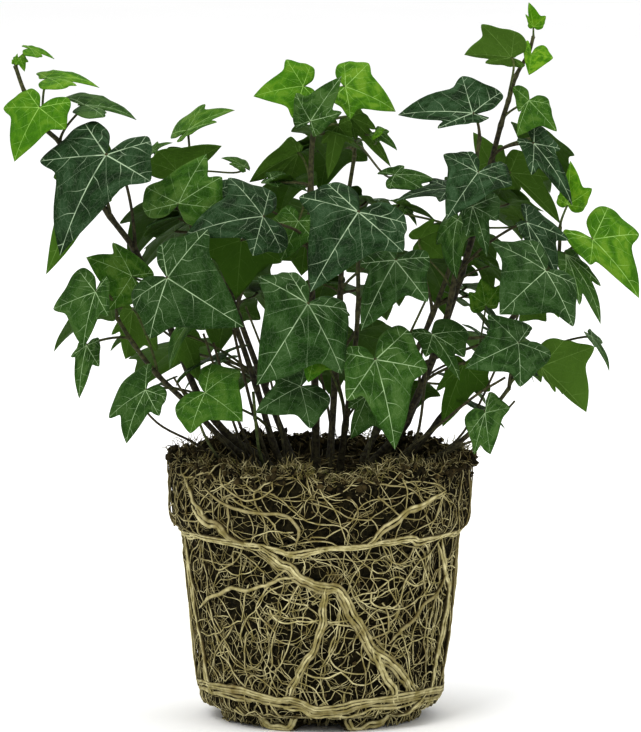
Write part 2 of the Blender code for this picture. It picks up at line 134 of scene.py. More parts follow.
# Thinner branches, in the same terms.
EXTRA_ROOTS = {
    "collar_branch": (2, 1.0, [(-56, 92), (-51, 87), (-43, 85), (-36, 80), (-29, 77)]),
    "collar_rise": (2, 0.8, [(18, 78), (24, 84), (33, 90), (44, 94), (54, 97)]),
    "collar_rise_left": (1, 0.9, [(-62, 104), (-57, 97), (-52, 91), (-47, 86)]),
    "right_edge_root": (2, 0.8, [(80, 77), (84, 60), (86, 42), (82, 26), (74, 12)]),
    "right_cross": (1, 0.9, [(66, 62), (58, 54), (47, 48), (38, 41), (31, 37)]),
    "right_lower": (2, 0.9, [(24, 36), (28, 27), (34, 19), (38, 12)]),
    "left_cross": (1, 0.9, [(-66, 47), (-55, 53), (-42, 58), (-30, 59), (-19, 63), (-11, 66)]),
    "upper_cross": (1, 0.8, [(-48, 99), (-34, 92), (-16, 91), (-8, 86), (-10, 78)]),
    "foot_front": (2, 0.9, [(-44, 9), (-34, 4), (-24, 1.8), (-16, 2.5), (-13.5, 6.5)]),
    "foot_front_right": (2, 0.9, [(13.5, 6.5), (16, 2), (26, 1.6), (38, 4), (48, 7), (58, 12)]),
    "back_cross": (2, 0.9, [(120, 74), (128, 62), (140, 54), (150, 46), (156, 32), (160, 14)]),
    "back_lower": (1, 0.9, [(-150, 60), (-138, 46), (-124, 38), (-112, 24), (-104, 13)]),
    "left_side": (2, 0.8, [(-100, 76), (-96, 60), (-92, 44), (-90, 28), (-84, 13)]),
}

# Fine roots as (pieces, roots in each, length of a step, radius, depth, length, wildness, tone).
ROOT_LAYERS = {
    "hair_roots": (3, 420, 1.5, (0.14, 0.24), (-1.0, -0.2), (14, 34), 1.6, (0.25, 0.85)),
    "fine_roots": (3, 240, 1.8, (0.24, 0.38), (-0.7, 0.3), (20, 50), 1.2, (0.35, 1.0)),
    "long_roots": (2, 120, 1.8, (0.38, 0.58), (-0.2, 0.8), (28, 80), 0.9, (0.5, 1.0)),
}
MIDDLE_RADIUS = 55.0  # turns a root's sideways steps into degrees
LOWEST_ROOT = 0.5
COLLAR_DULLING = 0.78

RIM_CRUMBS = 900
SOIL_CRUMBS = 700
WALL_CRUMBS = 900
RIM_THREADS = 420
SOIL_ROOTS = 260
# Rim threads and wisps get painted shade on the sides that turn away from this way, as if lit from the front
# and above.
WISP_LIT_SIDE = Vector((0, -1, 0.3)).normalized()
# Where roots were torn off at the rim: degrees round, width in degrees and threads.
TORN_TUFTS = [(-11, 9, 90), (4, 6, 40), (-34, 14, 60), (22, 12, 60), (42, 12, 44), (-60, 14, 40),
              (64, 14, 30), (110, 16, 40), (165, 18, 44), (-120, 16, 40)]
# Moss on the rim: degrees round, how far over the rim's edge, width in degrees and threads.
MOSS_CLUMPS = [(-9, 0, 7, 80), (6, 1, 5, 40), (-30, 1, 9, 40), (24, 0, 8, 34), (40, 2, 8, 30),
               (-55, 3, 8, 30), (150, 1, 9, 50), (-140, 2, 9, 50), (95, 1, 8, 40)]

# ---------------------------------------------------------------- shoots and leaves

# Blade outlines, as shares of the length from the stalk to the main tip: side lobe and base lobe as
# (degrees from the main lobe, reach).
FORMS = {
    "mature": ((62, 0.68), (116, 0.46)),
    "broad": ((66, 0.78), (118, 0.52)),
    "tailed": ((54, 0.48), (112, 0.34)),
    "young": ((52, 0.66), (110, 0.48)),
}
VIEW_SLOPE = 0.123  # the front view looks down by this much, so what lies nearer looks this much lower
LEAST_TURN = 22  # degrees between two neighbouring lobes
MOST_TURN = 160
MOST_REACH = 1.1
LEAST_BETWEEN = 0.80  # how far in, as a share of the shorter lobe, the edge between two lobes may come
EDGE_STEPS = 7
SOFTENING = 3
BLADE_RINGS = [0.0, 0.05, 0.12, 0.22, 0.33, 0.45, 0.57, 0.68, 0.78, 0.87, 0.94, 1.0]
BLADE_ARCH = 0.28
BLADE_FOLD = 0.12
BLADE_ROLL = 0.30
BLADE_THICKNESS = 0.4
QUILT_WIDTH = 0.14  # the blade swells between its veins within this distance
QUILT_HEIGHT = 0.012
OLD_AGE = 4
STALK_STEPS = 14
SHOOT_STEPS = 6

# Shoots: thickness at the soil and at the tip, and a route of (right, back, height above the soil).
SHOOTS = {
    "left": (1.9, 0.8, [
        (-22, 0, 0), (-36, -2, 14), (-48, -4, 29), (-57, -6, 50), (-66, -9, 73), (-75, -11, 92),
        (-85, -13, 106), (-97, -14, 124), (-105, -15, 136), (-112, -15, 143), (-119, -14, 156),
        (-123, -13, 167)]),
    "left_low": (1.6, 0.8, [
        (-25, -12, 0), (-38, -16, 14), (-52, -20, 29), (-66, -23, 43), (-75, -25, 55), (-82, -24, 66)]),
    "front_left": (1.7, 0.8, [
        (-15, -18, 0), (-19, -20, 14), (-26, -22, 38), (-34, -26, 62), (-44, -28, 84), (-52, -28, 103)]),
    "centre": (2.0, 0.9, [
        (-2, 0, 0), (-2, -3, 25), (-3, -6, 60), (-4, -8, 90), (-4, -10, 116), (-3, -11, 138),
        (1, -12, 152)]),
    "front": (1.7, 0.8, [
        (8, -16, 0), (10, -24, 22), (13, -33, 46), (15, -36, 70), (15, -38, 94)]),
    "right_mid": (1.8, 0.8, [
        (20, -8, 0), (31, -11, 17), (40, -14, 35), (47, -16, 52), (53, -18, 75), (56, -19, 98),
        (61, -20, 120), (64, -20, 138)]),
    "right": (1.9, 0.7, [
        (24, 5, 0), (35, 4, 20), (47, 3, 50), (57, 2, 80), (64, 0, 105), (69, -1, 126), (73, -2, 142),
        (76, -3, 152), (79, -3, 162), (84, -3, 171), (86, -3, 178)]),
    "right_far": (1.6, 0.7, [
        (34, -5, 0), (48, -7, 22), (64, -9, 46), (79, -10, 66), (90, -10, 78), (96, -8, 88), (97, -6, 101)]),
    "right_low": (1.5, 0.8, [
        (38, -18, 0), (52, -22, 12), (66, -26, 25), (76, -28, 38)]),
    "back_left": (1.7, 0.8, [
        (-12, 16, 0), (-22, 22, 30), (-34, 26, 62), (-44, 24, 92), (-53, 15, 118)]),
    "back_middle": (1.8, 0.8, [
        (4, 20, 0), (6, 32, 34), (8, 42, 66), (10, 46, 98), (14, 40, 126)]),
    "back_right": (1.7, 0.8, [
        (18, 18, 0), (32, 30, 30), (46, 38, 60), (56, 40, 88), (60, 36, 108)]),
}

# Thin stems and stalks that rise from the soil between the shoots, as (thickness, how green, and
# places as (right, back, height above the soil)).
THIN_STEMS = [
    (0.75, 0.1, [(-24, -22, 0), (-29, -26, 14), (-37, -30, 36), (-43, -34, 57)]),
    (0.65, 0.2, [(-27, -20, 0), (-33, -26, 18), (-41, -32, 42), (-47, -36, 61)]),
    (0.80, 0.1, [(-20, -24, 0), (-26, -28, 24), (-31, -30, 44), (-35, -32, 62)]),
    (0.60, 0.2, [(-30, -22, 0), (-39, -30, 16), (-50, -36, 29), (-59, -40, 44)]),
    (0.70, 0.7, [(-34, -32, 0), (-42, -36, 12), (-48, -40, 24), (-51, -42, 38)]),
    (0.85, 0.9, [(-22, -34, 0), (-25, -38, 16), (-27, -40, 38)]),
    (0.60, 0.3, [(-14, -30, 0), (-16, -34, 22), (-22, -36, 50), (-30, -36, 72)]),
    (0.60, 0.1, [(-38, -14, 0), (-50, -20, 14), (-66, -28, 24), (-78, -34, 40)]),
    (0.70, 0.2, [(26, -24, 0), (36, -30, 14), (48, -34, 24), (62, -38, 36), (74, -42, 44)]),
    (0.75, 0.2, [(30, -20, 0), (39, -24, 18), (43, -26, 48)]),
    (0.65, 0.5, [(18, -30, 0), (22, -34, 24), (32, -36, 52), (42, -36, 74)]),
    (0.60, 0.2, [(36, -22, 0), (50, -28, 12), (66, -34, 20), (78, -38, 34)]),
    (0.70, 0.1, [(4, -28, 0), (4, -32, 24), (-2, -34, 54)]),
    (0.60, 0.3, [(44, -10, 0), (58, -12, 18), (70, -14, 42), (80, -14, 66)]),
]

# Leaves: shoot, number of the shoot's point that the stalk grows from, where the blade meets the
# stalk, the way from there to the main tip, the way the upper face looks, the outline, and age from
# 0 (old and dark) to 10 (new and bright). The outline is a form, or the places where the two side
# lobes and the two base lobes end, as (right, height) in the front view. These leaves stand where
# the CAD model has its blades.
LEAVES = {
    "left_large": ("left", 5, (-86, -34, 133), (-18, -15, -39), (-4, -8, 4),
                   ((-112, 125), (-96, 143), (-67, 117), (-69, 135)), 0),
    "left_outer": ("left", 9, (-113, -24, 151), (-10, -6, -21), (-3, -9, 4),
                   ((-128, 148), (-119, 156), (-102, 139), (-101, 151)), 8),
    "left_upper": ("back_left", 4, (-54, 8, 139), (19, -6, 9), (-2, -5, 7),
                   ((-46, 150), (-40, 143), (-63, 141), (-59, 136)), 5),
    "left_wavy": ("front_left", 5, (-57, -30, 113), (11, -2, 20), (-2, -8, 2),
                  ((-71, 116), (-39, 120), (-73, 106), (-40, 107)), 3),
    "left_middle": ("left", 4, (-76, -24, 83), (-18, -3, 8), (2, -9, 3),
                    ((-85, 66), (-84, 94), (-71, 71), (-66, 82)), 4),
    "left_dark": ("left_low", 5, (-90, -46, 79), (-5, -5, -22), (-3, -9, 3),
                  ((-107, 66), (-98, 83), (-84, 63), (-86, 80)), 2),
    "left_low": ("left_low", 2, (-70, -50, 40), (-8, -8, -20), (-3, -8, 4),
                 ((-85, 22), (-71, 47), (-64, 23), (-62, 31)), 2),
    "front_left": ("front_left", 3, (-61, -58, 86), (30, -12, -18), (-3, -9, 3),
                   ((-68, 54), (-45, 99), (-76, 70), (-64, 93)), 1),
    "front_left_low": ("front_left", 1, (-46, -58, 40), (15, -10, -10), (0, -8, 5),
                       ((-52, 17), (-32, 43), (-58, 26), (-44, 47)), 4),
    "centre_left": ("centre", 3, (-23, -42, 109), (-31, -9, -6), (0, -8, 5),
                    ((-27, 88), (-37, 121), (-15, 91), (-20, 116)), 0),
    "centre_top_left": ("centre", 6, (-7, -16, 159), (-20, -3, -4), (-1, -8, 4),
                        ((-14, 168), (-11, 143), (-4, 166), (-2, 152)), 8),
    "centre_top": ("centre", 5, (-4, -28, 146), (12, -4, 18), (0, -9, 2),
                   ((-10, 154), (9, 146), (-11, 140), (-2, 136)), 2),
    "centre_top_right": ("centre", 6, (10, -18, 159), (21, 4, -10), (2, -9, 4),
                         ((20, 167), (12, 143), (10, 167), (5, 152)), 7),
    "centre_large": ("front", 4, (15, -64, 113), (-19, -15, -30), (0, -8, 4),
                     ((-9, 112), (33, 89), (3, 117), (34, 102)), 0),
    "front_large": ("front", 1, (-5, -52, 75), (-20, -18, -30), (2, -8, 4),
                    ((9, 40), (-25, 80), (11, 67), (-12, 82)), 1),
    "front_right": ("front", 1, (22, -56, 53), (8, -8, -35), (2, -9, 2),
                    ((10, 29), (43, 42), (10, 49), (36, 59)), 2),
    "centre_right": ("front", 3, (30, -48, 92), (-14, -10, -27), (-2, -8, 3),
                     ((43, 69), (16, 84), (43, 88), (24, 94)), 1),
    "right_small": ("back_middle", 4, (30, -4, 122), (16, -3, -1), (0, -6, 5),
                    ((43, 114), (34, 125), (28, 116), (22, 123)), 2),
    "right_wide": ("right_mid", 7, (61, -26, 149), (-30, 6, -1), (0, -8, 5),
                   ((47, 138), (57, 161), (72, 156), (67, 144)), 0),
    "right_dark": ("right_mid", 6, (63, -36, 126), (-13, -12, -18), (0, -8, 4),
                   ((49, 129), (77, 117), (59, 131), (74, 127)), 0),
    "right_top": ("right", 7, (77, -8, 170), (-19, -2, 1), (0, 8, 4),
                  ((64, 183), (66, 167), (78, 180), (82, 166)), 6),
    "right_tip": ("right", 10, (86, -4, 182), (-2, -1, 10), (1, -9, -1),
                  ((91, 186), (83, 187), (90, 182), (84, 183)), 10),
    "right_hanging": ("right", 6, (84, -14, 153), (-5, -6, -14), (-2, -8, 4),
                      ((95, 139), (80, 146), (92, 150), (77, 158)), 4),
    "right_slanting": ("right", 5, (86, -18, 136), (16, -4, -24), (4, -8, 3),
                       ((84, 120), (96, 131), (80, 135), (87, 143)), 0),
    "right_pointed": ("right_far", 6, (100, -6, 110), (1, -2, 18), (0, -9, -1),
                      ((110, 116), (97, 116), (107, 108), (96, 112)), 9),
    "right_outer": ("right_far", 4, (110, -16, 97), (19, -4, -23), (2, -8, 4),
                    ((129, 97), (108, 84), (117, 109), (99, 99)), 7),
    "right_inner": ("right_mid", 4, (83, -28, 105), (12, -8, -20), (2, -8, 4),
                    ((100, 94), (85, 88), (83, 111), (79, 100)), 0),
    "right_large": ("right_far", 3, (90, -50, 88), (-19, -16, -16), (1, -8, 4),
                    ((101, 59), (68, 94), (102, 77), (84, 95)), 1),
    "right_low": ("right_low", 3, (79, -50, 59), (-21, -9, -9), (1, -9, 3),
                  ((80, 35), (67, 65), (94, 49), (85, 61)), 1),
    "right_low_outer": ("right_low", 3, (89, -30, 47), (18, -4, -18), (1, 9, 3),
                        ((111, 52), (97, 34), (98, 54), (91, 40)), 6),
    "back_left_high": ("back_left", 3, (-62, 44, 105), (-18, 16, -26), (-5, 6, 6), "mature", 1),
    "back_left": ("back_left", 2, (-36, 56, 78), (-10, 20, -27), (-3, 7, 6), "mature", 1),
    "back_left_low": ("back_left", 1, (-58, 50, 46), (-18, 16, -20), (-5, 6, 6), "broad", 1),
    "back_side": ("back_left", 2, (-86, 26, 66), (-24, 8, -20), (-6, 4, 6), "mature", 1),
    "back_middle_high": ("back_middle", 4, (4, 58, 128), (-4, 20, -20), (0, 7, 7), "mature", 2),
    "back_middle": ("back_middle", 3, (-4, 66, 100), (-4, 22, -28), (0, 7, 6), "broad", 1),
    "back_middle_low": ("back_middle", 1, (14, 62, 50), (3, 20, -28), (1, 8, 5), "mature", 1),
    "back_right_high": ("back_right", 4, (66, 52, 112), (18, 16, -24), (5, 6, 6), "mature", 2),
    "back_right": ("back_right", 2, (44, 62, 80), (10, 20, -25), (3, 7, 6), "mature", 1),
    "back_right_low": ("back_right", 1, (72, 46, 50), (20, 14, -20), (5, 5, 6), "broad", 1),
}

# Leaves too small or too hidden to be CAD pieces of their own, in the same terms.
SMALL_LEAVES = {
    "left_bud": ("left", 11, (-123, -13, 168), (1, -1, 4), (0, -9, 1), "tailed", 9),
    "left_bud_leaf": ("left", 11, (-121, -14, 170), (2, -2, -5), (3, -8, 2), "young", 8),
    "left_tip_leaf": ("left", 11, (-117, -13, 174), (10, -3, -4), (1, -5, 9),
                      ((-119, 175), (-110, 173), (-118, 174), (-111, 169)), 8),
    "left_tip_flat": ("left", 9, (-110, -12, 162), (21, -3, -2), (0, -4, 9),
                      ((-99, 165), (-99, 159), (-115, 165), (-113, 161)), 7),
    "left_grey_flat": ("left", 8, (-95, -11, 151), (21, -3, -5), (1, -4, 9),
                       ((-90, 154), (-82, 145), (-104, 157), (-97, 151)), 2),
    "left_behind": ("left", 6, (-94, -22, 128), (-16, -8, -44), (3, 8, 4),
                    ((-108, 120), (-84, 110), (-100, 132), (-84, 132)), 2),
    "left_olive": ("back_left", 4, (-57, 2, 122), (17, -4, 12), (0, 8, 4),
                   ((-66, 132), (-46, 122), (-70, 130), (-60, 118)), 4),
    "left_grey_tip": ("back_left", 4, (-68, 8, 131), (8, -2, 3), (0, -5, 8), "tailed", 3),
    "left_new": ("back_left", 4, (-31, 0, 125), (-9, -2, 4), (0, -5, 8),
                 ((-36, 130), (-35, 125), (-29, 128), (-28, 124)), 3),
    "centre_olive": ("centre", 4, (-9, 6, 130), (-20, 4, -12), (-1, 8, 3),
                     ((-27, 133), (-19, 121), (-12, 138), (-8, 134)), 5),
    "centre_tail": ("centre", 4, (-20, 2, 120), (15, -2, -5), (0, -4, 9), "tailed", 2),
    "centre_small": ("centre", 4, (-9, -12, 104), (-7, -4, -16), (0, -8, 4), "mature", 3),
    "centre_behind": ("centre", 5, (7, -2, 142), (-4, 1, -22), (1, 8, 2),
                      ((0, 134), (13, 134), (3, 144), (12, 144)), 5),
    "centre_long": ("centre", 5, (12, 4, 145), (17, 2, -20), (1, 8, 3),
                    ((14, 135), (22, 139), (9, 141), (17, 147)), 5),
    "centre_new": ("back_middle", 4, (22, -6, 139), (4, -3, 2), (0, -5, 8),
                   ((24, 142), (25, 138), (20, 142), (19, 139)), 9),
    "centre_grey_tip": ("back_middle", 4, (23, -4, 139), (8, -2, -7), (-2, -4, 8), "tailed", 3),
    "centre_shaded": ("centre", 3, (-32, -10, 96), (-2, 4, -24), (0, 8, 3), "broad", 1),
    "centre_dark": ("centre", 3, (-44, -16, 116), (-3, -3, -20), (1, -8, 4), "broad", 0),
    "centre_low": ("centre", 1, (-8, -46, 41), (-18, -8, -10), (-1, -8, 4),
                   ((-4, 18), (-20, 39), (4, 30), (-6, 44)), 1),
    "centre_low_new": ("front", 1, (-2, -54, 55), (-3, -3, -11), (0, -8, 3),
                       ((-10, 43), (6, 42), (-7, 49), (4, 49)), 7),
    "front_low": ("front", 1, (19, -34, 36), (-7, -5, -17), (0, -8, 3),
                  ((11, 26), (26, 17), (13, 36), (25, 33)), 2),
    "front_low_right": ("right_mid", 2, (45, -38, 61), (11, -8, -17), (3, -8, 3),
                        ((42, 47), (58, 47), (37, 58), (60, 58)), 2),
    "right_low_olive": ("right_mid", 2, (58, -14, 46), (-9, -4, -25), (0, 8, 4),
                        ((47, 33), (69, 33), (52, 44), (68, 44)), 1),
    "right_olive": ("right_mid", 4, (40, -14, 97), (12, -3, 5), (0, 7, 4),
                    ((50, 88), (46, 103), (40, 88), (36, 98)), 4),
    "right_edge_on": ("right_mid", 5, (55, -26, 106), (-1, -8, -23), (-7, -5, 2), "mature", 2),
    "right_shaded": ("right_mid", 6, (61, -32, 112), (6, -8, -19), (2, -8, 3),
                     ((58, 95), (71, 102), (56, 106), (72, 113)), 1),
    "right_flat": ("right_mid", 6, (52, -10, 117), (-22, -4, -5), (0, -4, 9), "tailed", 0),
    "right_light": ("right_mid", 5, (32, -4, 110), (15, -4, -6), (0, 4, 8), "tailed", 4),
    "right_grey_tip": ("right_mid", 5, (34, -6, 108), (5, -4, -6), (3, -3, 8), "tailed", 3),
    "right_narrow": ("right_mid", 5, (81, -14, 105), (-11, -2, 4), (0, 5, 8),
                     ((76, 109), (74, 103), (80, 107), (81, 102)), 6),
    "right_under": ("right", 5, (69, 8, 126), (-7, 2, 12), (0, 8, 2),
                    ((74, 134), (62, 125), (76, 127), (64, 119)), 5),
    "right_olive_large": ("right", 5, (77, 6, 122), (21, -4, -20), (1, 8, 3),
                          ((93, 120), (81, 115), (81, 132), (72, 116)), 5),
    "right_new": ("right", 9, (85, -8, 171), (-1, -3, -8), (0, -9, 3),
                  ((94, 169), (82, 173), (91, 174), (84, 177)), 9),
    "right_outer_dark": ("right_far", 4, (99, -16, 91), (15, -6, -27), (7, -6, 3),
                         ((103, 67), (109, 72), (98, 80), (104, 85)), 3),
    "right_far_new": ("right_far", 3, (93, -54, 76), (2, -3, -6), (0, -8, 3),
                      ((90, 65), (97, 66), (91, 69), (95, 70)), 8),
    "right_far_olive": ("right_far", 3, (87, -8, 70), (-7, -2, -7), (0, 7, 4),
                        ((80, 67), (91, 62), (82, 72), (91, 68)), 4),
    "right_round": ("right_far", 2, (67, -4, 69), (-2, -2, 11), (0, -9, -2),
                    ((60, 74), (73, 77), (61, 66), (72, 68)), 6),
    "right_lowest": ("right_low", 2, (66, -44, 30), (2, -5, -16), (-1, -9, 2),
                     ((77, 11), (65, 14), (76, 27), (65, 34)), 2),
    "right_low_curled": ("right_low", 3, (109, -28, 59), (7, -2, -14), (9, -3, 2), "tailed", 2),
    "left_low_dark": ("left_low", 4, (-94, -34, 56), (-3, -4, -21), (-3, -8, 3),
                      ((-100, 47), (-88, 43), (-96, 54), (-89, 54)), 2),
    "left_low_olive": ("left_low", 3, (-76, -12, 68), (-3, -2, -20), (1, 8, 2),
                       ((-85, 56), (-66, 49), (-80, 67), (-67, 64)), 5),
    "left_low_shaded": ("front_left", 2, (-55, -22, 58), (6, -3, -18), (0, 8, 3),
                        ((-60, 43), (-46, 52), (-60, 54), (-50, 58)), 3),
}

# Shaded leaves placed by chance, for each shoot.
FILLERS = {"back_left": 11, "back_middle": 12, "back_right": 12, "right": 5, "centre": 5, "left": 3,
           "right_far": 3, "right_mid": 4, "front_left": 3}
LOWEST_FILLER = 14.0  # above the soil

# ---------------------------------------------------------------- studio, in metres

CAMERA_LENS = 362.9
CAMERA_TILT = 7
CAMERA_DISTANCE = 3.0
CAMERA_TARGET = (0, 0, 0.1435)
# Area lights as (place, size, power).
LIGHTS = {
    "key": ((-1.0, -1.6, 1.9), 1.2, 30),
    "fill": ((1.7, -1.2, 0.9), 1.4, 7),
    "top": ((0.2, 0.5, 2.2), 1.4, 16),
}
LIGHT_TARGET = (0, 0, 0.15)
FLOOR_REACH = 8.0
WORLD_STRENGTH = 1.02
VIEW_GAMMA = 0.85


class Patch:
    """Points and faces of one piece, with a few numbers for each point that its material reads."""

    def __init__(self):
        self.points = []
        self.faces = []
        self.marks = {}

    def add(self, points, faces, **marks):
        start = len(self.points)
        self.points.extend(points)
        self.faces.extend([[corner + start for corner in face] for face in faces])
        for name, values in marks.items():
            self.marks.setdefault(name, []).extend(values)

    def finish(self, name, surface, slot, replaced=()):
        mesh = bpy.data.meshes.new(name)
        mesh.from_pydata([tuple(c * METRES_PER_MM for c in point) for point in self.points], [], self.faces)
        for mark, values in self.marks.items():
            flat = np.array(values, np.float32)
            if flat.ndim == 2:
                mesh.attributes.new(mark, "FLOAT_VECTOR", "POINT").data.foreach_set("vector", flat.ravel())
            else:
                mesh.attributes.new(mark, "FLOAT", "POINT").data.foreach_set("value", flat)
        mesh.materials.append(surface)
        mesh.shade_smooth()
        piece = bpy.data.objects.new(name, mesh)
        bpy.context.scene.collection.objects.link(piece)
        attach(piece, "root")
        if replaced:
            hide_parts(*replaced)


# ---------------------------------------------------------------- materials


class Nodes:
    """A material being wired: each method adds one node and gives its output."""

    def __init__(self, name):
        self.material = bpy.data.materials.new(name)
        self.material.use_nodes = True
        self.tree = self.material.node_tree
        self.shader = self.tree.nodes["Principled BSDF"]

    def put(self, socket, value):
        if isinstance(value, bpy.types.NodeSocket):
            self.tree.links.new(value, socket)
        else:
            socket.default_value = value

    def mark(self, name, output="Fac"):
        node = self.tree.nodes.new("ShaderNodeAttribute")
        node.attribute_name = name
        return node.outputs[output]

    def parts(self, vector):
        node = self.tree.nodes.new("ShaderNodeSeparateXYZ")
        self.put(node.inputs[0], vector)
        return node.outputs

    def math(self, operation, *values):
        node = self.tree.nodes.new("ShaderNodeMath")
        node.operation = operation
        for socket, value in zip(node.inputs, values):
            self.put(socket, value)
        return node.outputs[0]

    def times(self, first, second):
        return self.math("MULTIPLY", first, second)

    def line(self, value, slope, start):
        """value times slope, plus start."""
        return self.math("MULTIPLY_ADD", value, slope, start)

    def ramp(self, value, low, high, to_low=0.0, to_high=1.0):
        node = self.tree.nodes.new("ShaderNodeMapRange")
        node.interpolation_type = "SMOOTHSTEP"
        for socket, setting in zip(node.inputs, (value, low, high, to_low, to_high)):
            self.put(socket, setting)
        return node.outputs[0]

    def noise(self, scale, detail=3.0, vector=None, rough=0.5):
        node = self.tree.nodes.new("ShaderNodeTexNoise")
        node.inputs["Scale"].default_value = scale
        node.inputs["Detail"].default_value = detail
        node.inputs["Roughness"].default_value = rough
        self.put(node.inputs["Vector"], vector or self.place())
        return node.outputs["Fac"]

    def cracks(self, scale, vector):
        """Distance to the edges of a cell pattern."""
        node = self.tree.nodes.new("ShaderNodeTexVoronoi")
        node.feature = "DISTANCE_TO_EDGE"
        node.inputs["Scale"].default_value = scale
        self.put(node.inputs["Vector"], vector)
        return node.outputs["Distance"]

    def place(self):
        return self.tree.nodes.new("ShaderNodeTexCoord").outputs["Object"]

    def mix(self, share, first, second):
        node = self.tree.nodes.new("ShaderNodeMix")
        node.data_type = "RGBA"
        self.put(node.inputs["Factor"], share)
        for name, colour in (("A", first), ("B", second)):
            socket = [s for s in node.inputs if s.name == name and s.type == "RGBA"][0]
            self.put(socket, colour if isinstance(colour, bpy.types.NodeSocket) else (*colour, 1))
        return [s for s in node.outputs if s.type == "RGBA"][0]

    def mottle(self, colours, scale, detail, low, high):
        """Two colours in patches."""
        return self.mix(self.ramp(self.noise(scale, detail), low, high), *colours)

    def bump(self, height, strength, distance):
        node = self.tree.nodes.new("ShaderNodeBump")
        node.inputs["Strength"].default_value = strength
        node.inputs["Distance"].default_value = distance
        self.put(node.inputs["Height"], height)
        self.put(self.shader.inputs["Normal"], node.outputs[0])

    def done(self, colour, roughness, specular=0.5):
        self.put(self.shader.inputs["Base Color"], colour)
        self.put(self.shader.inputs["Roughness"], roughness)
        self.shader.inputs["Specular IOR Level"].default_value = specular
        return self.material


def main_veins(n, off_vein, share):
    """The main veins, which narrow towards the lobe tips."""
    width = n.line(share, -0.0055, 0.0095)
    return n.ramp(off_vein, n.times(width, 0.5), width, 1.0, 0.0)


def side_veins(n, along, across, off_vein, reach, blade_place):
    """Side veins leave each main vein at a slant, one side half a step after the other."""
    wander = n.math("SUBTRACT", n.noise(2.2, 0.0, blade_place), 0.5)
    slant = n.line(wander, 0.16, n.line(off_vein, -0.85, along))
    steps = n.times(n.math("DIVIDE", slant, reach), SIDE_VEINS)
    step = n.line(n.math("SIGN", across), 0.25, steps)
    gap = n.math("ABSOLUTE", n.math("SUBTRACT", n.math("FRACT", step), 0.5))
    gap = n.times(n.math("DIVIDE", gap, SIDE_VEINS), reach)
    width = n.line(off_vein, -0.016, 0.0068)
    vein = n.ramp(gap, n.times(width, 0.4), width, 1.0, 0.0)
    fade = n.ramp(off_vein, 0.03, 0.22, 1.0, 0.10)
    started = n.ramp(slant, 0.05, 0.12)
    return n.times(n.times(vein, fade), started)


def all_veins(n, along, across, off_vein, reach, blade_place):
    """Main veins, side veins and the fine net between them, as one mask."""
    main = main_veins(n, off_vein, n.math("DIVIDE", along, reach))
    side = side_veins(n, along, across, off_vein, reach, blade_place)
    veins = n.math("MAXIMUM", n.times(main, 0.9), n.times(side, 0.7))
    veins = n.times(veins, n.ramp(n.noise(4.0, 2.0, blade_place), 0.35, 0.60, 0.5, 1.0))
    for cells, width, strength in ((13.0, 0.05, 0.12), (34.0, 0.10, 0.05)):
        net = n.ramp(n.cracks(cells, blade_place), 0.0, width, 1.0, 0.0)
        veins = n.math("MAXIMUM", veins, n.times(net, strength))
    return veins


def leaf_material():
    n = Nodes("ivy_leaf")
    blade_place = n.mark("blade_place", "Vector")
    along, across, reach = n.parts(n.mark("vein_place", "Vector"))
    off_vein = n.math("ABSOLUTE", across)
    age = n.mark("age")
    under = n.mark("under")
    tint = {name: n.mix(age, old, young) for name, (old, young) in LEAF_COLOURS.items()}
    veins = all_veins(n, along, across, off_vein, reach, blade_place)
    glow = n.ramp(off_vein, 0.0, 0.09, 1.0, 0.0)
    clouds = n.noise(3.2, 4.0, blade_place)

    # Pale cloudy patches: partly uneven tone, partly painted sheen.
    upper = n.mix(n.ramp(clouds, 0.47, 0.62), tint["green"], tint["pale_and_sheen"])
    upper = n.mix(n.ramp(clouds, 0.38, 0.50, 0.9, 0.0), upper, tint["dark"])
    upper = n.mix(n.times(glow, 0.22), upper, tint["pale_and_sheen"])
    upper = n.mix(n.times(n.mark("shade"), 0.55), upper, tint["dark"])
    upper = n.mix(veins, upper, tint["vein"])
    lower = n.mix(n.times(clouds, 0.5), tint["under"], tint["under_dark"])
    lower = n.mix(veins, lower, tint["under_vein"])

    height = n.line(veins, -0.8, n.times(n.noise(60.0, 2.0, blade_place), 0.25))
    height = n.line(n.noise(9.0, 2.0, blade_place), 1.2, height)
    n.bump(height, 0.5, 0.0007)
    gloss = n.ramp(n.noise(7.0, 2.0, blade_place), 0.3, 0.7, 0.38, 0.52)
    return n.done(n.mix(under, upper, lower), n.line(under, 0.15, gloss), 0.06)


def shoot_material():
    n = Nodes("ivy_shoot")
    streak = n.ramp(n.noise(700.0, 3.0), 0.35, 0.65)
    bark, green, purple = (n.mix(streak, *colours) for colours in (BARK, GREEN_STALK, PURPLE_STALK))
    stalk = n.mix(n.mark("tone"), purple, green)
    colour = n.mix(n.ramp(n.mark("growth"), 0.25, 0.9), bark, stalk)
    n.bump(n.noise(1500.0, 3.0), 0.4, 0.0003)
    return n.done(colour, 0.6, 0.2)


def root_material():
    n = Nodes("root_bark")
    cream = n.mottle(ROOT_CREAM, 260.0, 4.0, 0.3, 0.7)
    brown = n.mottle(ROOT_BROWN, 500.0, 3.0, 0.3, 0.7)
    colour = n.mix(n.mark("tone"), brown, cream)
    # Painted shade: sides of each root that look away from the ball, or from the lit side, are darkened, so
    # each root looks lit along its middle.
    colour = n.mix(n.ramp(n.mark("facing"), 0.15, 0.9, 0.92, 0.0), colour, ROOT_PAINTED_SHADE)
    stain = n.ramp(n.noise(90.0, 4.0), 0.55, 0.75)
    colour = n.mix(n.times(stain, 0.45), colour, ROOT_STAIN)
    n.bump(n.noise(1300.0, 4.0), 0.5, 0.0004)
    return n.done(colour, 0.78, 0.15)


